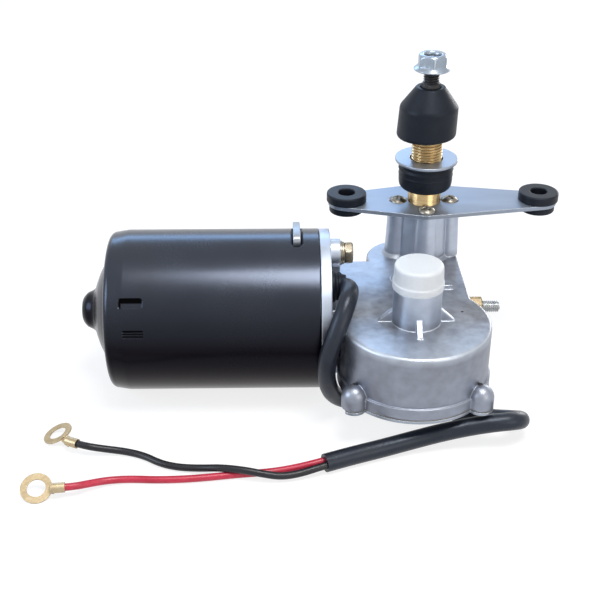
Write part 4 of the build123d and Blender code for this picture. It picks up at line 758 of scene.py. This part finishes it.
yellow = finish("yellow_zinc", (0.18, 0.150, 0.105), 0.32, other=(0.35, 0.315, 0.250), metal=0.9,
                patch=160.0, wear=(0.62, 0.56, 0.44), edge=0.0003)
bolt_flats = 0.0100
pad_x = -0.0450
washer_t = 0.0020
head_t = 0.0043
head_low = pad_x + washer_t
head_rings = [
    (head_low - 0.0160, 0.0), (head_low - 0.0160, 0.0026), (head_low - 0.0154, 0.0030),
    (head_low, 0.0030), (head_low, 0.0046), (head_low + 0.0003, 0.0052),
    (head_low + 0.0006, 0.0058), (head_low + head_t - 0.0011, 0.0058),
    (head_low + head_t - 0.0006, 0.0053), (head_low + head_t - 0.0002, 0.0049),
    (head_low + head_t, 0.0045), (head_low + head_t, 0.0032),
    (head_low + head_t - 0.0004, 0.0029), (head_low + head_t - 0.0005, 0.0),
]
washer_pair = eased(
    [
        (pad_x, 0.0030), (pad_x, 0.0060), (pad_x + 0.0009, 0.0060), (pad_x + 0.0009, 0.0052),
        (pad_x + 0.0010, 0.0052), (pad_x + 0.0010, 0.0055), (pad_x + washer_t, 0.0055),
        (pad_x + washer_t, 0.0030),
    ],
    0.00015, steps=2,
)
for number, z in enumerate((axis_z + 0.0310, axis_z - 0.0310)):
    bolt = hex_on_x(f"flange_bolt_{number}", head_rings, z)
    pin_down(bolt, yellow, "base", "yellow_zinc", "flange_bolts")
    washer = turned_on_x(f"flange_washer_{number}", washer_pair, axis_y, z, sharp=40)
    pin_down(washer, yellow, "base", "yellow_zinc", "flange_washers")


# Thrust screw and its lock nut
# M6 set screw, zinc plated, that takes up the rotor's end play, and its browned lock nut.

def threaded(radius, along, angle, lead, deep):
    """Thread: the radius falls by a rounded wave of along / lead less the turn."""
    wave = np.cos(2 * np.pi * (along / lead) - angle)
    return radius - deep * (0.5 - 0.5 * np.sign(wave) * np.abs(wave) ** 0.75)


screw_x0, screw_x1, screw_r = 0.0140, 0.0363, 0.0030
along = np.concatenate([
    [screw_x0, screw_x0], np.linspace(screw_x0, screw_x1 - 0.0002, 260), [screw_x1, screw_x1],
])
limit = np.interp(along, [screw_x0, screw_x0 + 0.0006, screw_x1 - 0.0008, screw_x1],
                  [screw_r - 0.0005, screw_r, screw_r, screw_r - 0.0008])
limit[0] = 0.0
limit[-1] = 0.0
turn_angle = np.linspace(0, 2 * np.pi, 48, endpoint=False)
a, b = np.meshgrid(along, turn_angle, indexing="ij")
r = threaded(limit[:, None], a, b, 0.0010, 0.00055) * (limit[:, None] > 0)
grid = np.stack([a, axis_y + r * np.cos(b), axis_z + r * np.sin(b)], axis=-1)
screw_zinc = finish("screw_zinc", (0.40, 0.42, 0.43), 0.34, other=(0.54, 0.56, 0.57), metal=0.9,
                    patch=220.0, wear=(0.72, 0.75, 0.78), edge=0.0002)
pin_down(skin("thrust_screw_thread", grid), screw_zinc, "base", "zinc_plate", "thrust_screw")
nut_x0, nut_x1 = 0.0202, 0.0273
rings = [
    (nut_x0, screw_r), (nut_x0, 0.0046), (nut_x0 + 0.0005, 0.0053), (nut_x0 + 0.0008, 0.0058),
    (nut_x1 - 0.0008, 0.0058), (nut_x1 - 0.0005, 0.0053), (nut_x1, 0.0046),
    (nut_x1, screw_r + 0.0002), (nut_x1 - 0.0004, screw_r), (nut_x0 + 0.0002, screw_r),
]
lock_zinc = finish("lock_nut_zinc", (0.150, 0.115, 0.068), 0.36, other=(0.270, 0.220, 0.145),
                   metal=0.9, patch=200.0, wear=(0.45, 0.39, 0.29), edge=0.0003)
pin_down(hex_on_x("thrust_lock_nut_hex", rings, axis_z, loop=True), lock_zinc, "base",
         "yellow_zinc", "thrust_lock_nut")


# Mounting plate and its grommets
# Stamped and zinc-plated steel lozenge with a moulded rubber grommet at each end.

plate_zinc = finish("plate_zinc", (0.235, 0.275, 0.345), 0.44, other=(0.310, 0.360, 0.440),
                    metal=0.85, patch=20.0, speck=1700.0, stretch=(1.0, 4.0, 1.0), bump=0.10,
                    bump_size=1500.0, wear=(0.52, 0.56, 0.62), edge=0.0004,
                    dust=(0.19, 0.20, 0.22))
dress(plate_zinc, "mounting_plate")
rubber = finish("black_rubber", (0.0035, 0.0045, 0.0078), 0.44, other=(0.0080, 0.0098, 0.0155),
                patch=90.0, bump=0.35, bump_size=1500.0, bump_depth=0.00008, specular=0.24,
                wear=(0.034, 0.039, 0.052), edge=0.0005, dust=(0.016, 0.018, 0.024),
                shine=(0.76, 0.86, 1.0))


def turned(name, section, x=0.0, y=0.0, steps=96, sharp=None):
    """Surface of revolution: each (radius, height) point of a closed section runs round a
    vertical line."""
    angle = np.linspace(0, 2 * np.pi, steps, endpoint=False)
    grid = np.stack([
        x + section[:, :1] * np.cos(angle),
        y + section[:, :1] * np.sin(angle),
        np.repeat(section[:, 1:], steps, axis=1),
    ], axis=-1)
    return skin(name, grid, loop=True, sharp=sharp)


grommet_low, grommet_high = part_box("plate_grommets")
flange_r = (grommet_high[1] - grommet_low[1]) / 2
for number, x in enumerate((grommet_low[0] + flange_r, grommet_high[0] - flange_r)):
    section = eased(
        [
            (0.00425, grommet_low[2]), (0.0088, grommet_low[2]), (0.0088, -0.0020),
            (0.0065, -0.0020), (0.0065, 0.0), (flange_r, 0.0), (flange_r, grommet_high[2]),
            (0.00425, grommet_high[2]),
        ],
        np.array([0.0004, 0.0009, 0.0002, 0.0001, 0.0001, 0.0004, 0.0009, 0.0006]),
    )
    grommet = turned(f"plate_grommet_{number}", section, x)
    pin_down(grommet, rubber, "base", "rubber_black", "plate_grommets")


# Plate screws
# Four raised countersunk cross-head screws, yellow passivated, sunk in the plate.

head_zinc = finish("screw_head_zinc", (0.13, 0.118, 0.098), 0.34, other=(0.32, 0.30, 0.26),
                   metal=0.9, patch=260.0, wear=(0.50, 0.47, 0.41), edge=0.0003)
screw_ring, screw_head_r, screw_dome = 0.0133, 0.0045, 0.0019
rows = np.concatenate([np.linspace(0, 0.0034, 40), np.linspace(0.0035, screw_head_r, 8)])
turn_angle = np.linspace(0, 2 * np.pi, 120, endpoint=False)
rho, theta = np.meshgrid(rows, turn_angle, indexing="ij")
px, py = np.abs(rho * np.cos(theta)), np.abs(rho * np.sin(theta))
arm = np.maximum(
    (1 - step_up(py, 0.00062, 0.0003)) * (1 - step_up(px, 0.0026, 0.0004)),
    (1 - step_up(px, 0.00062, 0.0003)) * (1 - step_up(py, 0.0026, 0.0004)),
)
dome = screw_dome * (1 - (rho / screw_head_r) ** 2.4) - 0.0004 * step_up(rho, 0.0043, 0.0004)
top = dome - arm * (0.0016 - 0.30 * rho)
under = np.array([(screw_head_r, -0.0005), (0.0042, -0.0008), (0.0025, -0.0020),
                  (0.0025, -0.0150), (0.0019, -0.0160), (0.0, -0.0160)])
rho = np.concatenate([rho, np.repeat(under[:, :1], 120, axis=1)])
top = np.concatenate([top, np.repeat(under[:, 1:], 120, axis=1)])
for number, heading in enumerate(np.radians([0, 90, 180, 270])):
    spin = turn_angle[None, :] + np.radians(20 + 31 * number)
    grid = np.stack([
        screw_ring * np.cos(heading) + rho * np.cos(spin),
        screw_ring * np.sin(heading) + rho * np.sin(spin),
        top,
    ], axis=-1)
    screw = skin(f"plate_screw_{number}", grid, sharp=50)
    pin_down(screw, head_zinc, "base", "yellow_zinc", "plate_screws")


# Spindle sleeve
# Turned brass, pressed in the column; fine thread above its collar.

brass = finish("turned_brass", (0.41, 0.285, 0.130), 0.24, other=(0.58, 0.44, 0.25), metal=1.0,
               patch=180.0, speck=2500.0, stretch=(1.0, 1.0, 5.0), wear=(0.78, 0.64, 0.40),
               edge=0.0003)
sleeve_low, sleeve_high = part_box("spindle_sleeve")
collar_top, thread_r, collar_r, bore_r = 0.0075, 0.0078, 0.0084, 0.0055
along = np.concatenate([
    [sleeve_low[2], collar_top - 0.0006, collar_top, collar_top],
    np.linspace(collar_top, sleeve_high[2], 330),
])
limit = np.concatenate([
    [collar_r, collar_r, collar_r - 0.0005, thread_r],
    np.interp(along[4:], [collar_top, sleeve_high[2] - 0.001, sleeve_high[2]],
              [thread_r, thread_r, thread_r - 0.0007]),
])
turn_angle = np.linspace(0, 2 * np.pi, 84, endpoint=False)
a, b = np.meshgrid(along, turn_angle, indexing="ij")
is_thread = step_up(a, collar_top + 0.0015, 0.001)
r = limit[:, None] + (threaded(thread_r, a, b, 0.0015, 0.0008) - thread_r) * is_thread
inner_z = np.array([sleeve_high[2], sleeve_low[2]])
inner = np.stack([bore_r * np.cos(b[:2]), bore_r * np.sin(b[:2]),
                  np.repeat(inner_z[:, None], 84, axis=1)], axis=-1)
grid = np.concatenate([np.stack([r * np.cos(b), r * np.sin(b), a], axis=-1), inner])
pin_down(skin("spindle_sleeve_thread", grid, loop=True, sharp=70), brass, "base", "brass_sleeve",
         "spindle_sleeve")


# Rubber bush, washer and hidden nut
# The vehicle's panel sits between the bush's washer and the nut under the cap.

bush_low, bush_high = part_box("panel_bush")
bush_r = 0.01365
section = eased(
    [
        (thread_r, bush_low[2]), (0.0118, bush_low[2]), (0.0133, bush_low[2] + 0.0016),
        (bush_r, bush_low[2] + 0.0042), (bush_r, 0.0146), (bush_r + 0.00018, 0.0150),
        (bush_r, 0.0154), (bush_r, 0.0174), (bush_r + 0.00035, 0.0180), (bush_r, 0.0186),
        (bush_r - 0.00045, 0.0194), (bush_r - 0.0001, 0.0200), (bush_r - 0.0001, bush_high[2]),
        (thread_r, bush_high[2]),
    ],
    np.array([0.0003, 0.0009, 0.0014, 0.0012, 0.0002, 0.0001, 0.0002, 0.0002, 0.0002, 0.0002,
              0.0003, 0.0003, 0.0007, 0.0003]),
)
pin_down(turned("panel_bush_rubber", section), rubber, "base", "rubber_black", "panel_bush")
washer_low, washer_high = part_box("panel_washer")
section = eased(
    [
        (0.0083, washer_low[2]), (washer_high[0], washer_low[2]), (washer_high[0], washer_high[2]),
        (0.0083, washer_high[2]),
    ],
    np.array([0.0002, 0.0005, 0.0004, 0.0003]),
)
pin_down(turned("panel_washer_disc", section, steps=144), zinc, "base", "zinc_plate",
         "panel_washer")
dress(zinc, "sleeve_nut")


# Spindle cap
# Moulded rubber over nut and sleeve: a cylinder with a cone on top, a little out of true.

cap_low, cap_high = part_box("spindle_cap")
cap_r = 0.0149
cap_bore = 0.0125
section = eased(
    [
        (cap_bore, cap_low[2]), (cap_r - 0.0009, cap_low[2]), (cap_r, cap_low[2] + 0.0012),
        (cap_r - 0.0003, 0.0505), (0.0075, cap_high[2] - 0.0003), (0.0070, cap_high[2]),
        (0.0053, cap_high[2]), (0.0053, cap_high[2] - 0.0019), (cap_bore, 0.0486),
    ],
    np.array([0.0003, 0.0008, 0.0007, 0.0011, 0.0006, 0.0003, 0.0004, 0.0003, 0.0010]),
    steps=5,
)
turn_angle = np.linspace(0, 2 * np.pi, 120, endpoint=False)
height = (section[:, 1:] - cap_low[2]) / (cap_high[2] - cap_low[2])
sway = 0.00022 * np.sin(2 * turn_angle + 0.6) + 0.00012 * np.sin(3 * turn_angle + 1.9)
r = section[:, :1] + sway[None, :] * (1 - height) - 0.00012
lift = 0.00025 * np.sin(turn_angle + 2.4)[None, :] * (1 - height) ** 3
lean = -0.0011 * (1 - np.clip(height, 0, 1)) ** 1.4
grid = np.stack([r * np.cos(turn_angle) + lean, r * np.sin(turn_angle),
                 np.repeat(section[:, 1:], 120, axis=1) + lift], axis=-1)
pin_down(skin("spindle_cap_rubber", grid, loop=True), rubber, "base", "rubber_black",
         "spindle_cap")


# Spindle
# Case-hardened and blackened steel: plain shank, serrated taper for the arm, M8 thread.

spindle_low, spindle_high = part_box("spindle_shaft")
taper_foot, taper_top, tip = 0.0575, 0.0624, spindle_high[2]
spindle_thread_r = 0.00394
shank = np.array([
    (spindle_low[2], 0.0), (spindle_low[2], 0.0040), (-0.0475, 0.0040), (-0.0475, 0.0080),
    (-0.0364, 0.0080), (-0.0364, 0.0050), (0.0463, 0.0050), (0.0463, 0.0046),
    (0.0473, 0.0046), (0.0473, 0.0050),
])
taper_z = np.linspace(0.0480, taper_top, 24)
thread_z = np.linspace(taper_top, tip, 150)
along = np.concatenate([shank[:, 0], taper_z, thread_z, [tip]])
limit = np.concatenate([
    shank[:, 1], np.interp(taper_z, [taper_foot + 0.0032, taper_top], [0.0050, 0.0045]),
    np.interp(thread_z, [tip - 0.0009, tip], [spindle_thread_r, 0.0032]), [0.0],
])
turn_angle = np.linspace(0, 2 * np.pi, 180, endpoint=False)
a, b = np.meshgrid(along, turn_angle, indexing="ij")
is_taper = step_up(a, taper_foot, 0.0008) * (a < taper_top + 1e-6)
is_thread = step_up(a, taper_top + 0.0004, 0.0006)
r = limit[:, None] - 0.00022 * is_taper * (0.5 - 0.5 * np.cos(36 * b))
r = r + (threaded(spindle_thread_r, a, b, 0.00125, 0.00065) - spindle_thread_r) * is_thread
r = np.maximum(r, 0) * (limit[:, None] > 0)
grid = np.stack([r * np.cos(b), r * np.sin(b), a], axis=-1)
pin_down(skin("spindle_thread_and_taper", grid, sharp=60), oxide, "spindle", "dark_steel",
         "spindle_shaft")


# Arm nut
# Zinc-plated M8 hexagon nut with a broad flange that holds the wiper arm.

nut_low, nut_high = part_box("arm_nut")
foot, crown, nut_r = nut_low[2], nut_high[2], 0.00402
rings = [
    (foot, nut_r), (foot, 0.0082), (foot + 0.0003, 0.0088), (foot + 0.0006, 0.00895),
    (foot + 0.0009, 0.0089), (foot + 0.0012, 0.0085), (foot + 0.0018, 0.0078),
    (foot + 0.0023, 0.0074), (foot + 0.0026, 0.0073), (crown - 0.0015, 0.0073),
    (crown - 0.0010, 0.0070), (crown - 0.0006, 0.0067), (crown - 0.0002, 0.0064),
    (crown, 0.0061), (crown, 0.0047), (crown - 0.0006, 0.0042), (crown - 0.0010, nut_r),
    (foot + 0.0003, nut_r),
]
angle = np.linspace(0, 2 * np.pi, 144, endpoint=False)
ring = np.array(rings)
is_hex = (step_up(ring[:, :1], foot + 0.0021, 0.0012) * (ring[:, 1:] > nut_r + 0.001))
flat_r = np.minimum(hexed(angle, 0.0130)[None, :], ring[:, 1:])
r = ring[:, 1:] * (1 - is_hex) + flat_r * is_hex
grid = np.stack([r * np.cos(angle + np.pi / 6), r * np.sin(angle + np.pi / 6),
                 np.repeat(ring[:, :1], 144, axis=1)], axis=-1)
nut_zinc = finish("nut_zinc", (0.27, 0.32, 0.38), 0.30, other=(0.34, 0.39, 0.46), metal=0.9,
                  patch=200.0, bump=0.04, wear=(0.70, 0.75, 0.80), edge=0.0003)
pin_down(skin("arm_nut_hex", grid, loop=True, sharp=34), nut_zinc, "nut", "zinc_plate", "arm_nut")


# Wheel-shaft cap
# Milky polyethylene, pushed over the boss; thicker round its foot.

boss_low, boss_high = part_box("boss_cap")
boss_x, boss_y = (boss_low[0] + boss_high[0]) / 2, (boss_low[1] + boss_high[1]) / 2
rim_r = (boss_high[0] - boss_low[0]) / 2
section = eased(
    [
        (0.0104, boss_low[2]), (rim_r, boss_low[2]), (rim_r, boss_low[2] + 0.0034),
        (0.01175, boss_low[2] + 0.0039), (0.0115, boss_high[2] - 0.0008),
        (0.0104, boss_high[2]), (0.0, boss_high[2]), (0.0, boss_high[2] - 0.0012),
        (0.0103, boss_high[2] - 0.0012), (0.0104, -0.0080),
    ],
    np.array([0.0002, 0.0006, 0.0011, 0.0016, 0.0012, 0.0009, 0.0, 0.0, 0.0006, 0.0003]),
    steps=6,
)
section[:, 0] = np.maximum(section[:, 0], 0)
milky = finish("white_polyethylene", (0.64, 0.67, 0.70), 0.42, other=(0.69, 0.715, 0.74),
               patch=40.0, specular=0.3, bump=0.15, bump_size=500.0, bump_depth=0.0001, edge=0.0006)
milk = milky.node_tree.nodes["Principled BSDF"]
milk.inputs["Subsurface Weight"].default_value = 0.35
milk.inputs["Subsurface Radius"].default_value = (0.9, 1.0, 1.0)
milk.inputs["Subsurface Scale"].default_value = 0.003
pin_down(turned("boss_cap_shell", section, boss_x, boss_y, steps=128), milky, "base",
         "white_plastic", "boss_cap")


# Cable grommet
# Soft rubber nozzle on the flange round the cable's exit, with moulded steps.

gland_low, gland_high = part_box("cable_grommet")
gland_y, gland_z = (gland_low[1] + gland_high[1]) / 2, (gland_low[2] + gland_high[2]) / 2
gland_x0, gland_x1 = gland_low[0], gland_high[0]
section = eased(
    [
        (gland_x0, 0.0044), (gland_x0, 0.0076), (gland_x0 + 0.0016, 0.0076),
        (gland_x0 + 0.0022, 0.0066), (gland_x0 + 0.0030, 0.0066), (gland_x0 + 0.0036, 0.0070),
        (gland_x0 + 0.0046, 0.0068), (gland_x0 + 0.0052, 0.0060), (gland_x1, 0.0056),
        (gland_x1, 0.0044),
    ],
    0.0004, steps=3,
)
pin_down(turned_on_x("cable_gland_rubber", section, gland_y, gland_z), rubber, "base",
         "rubber_black", "cable_grommet")
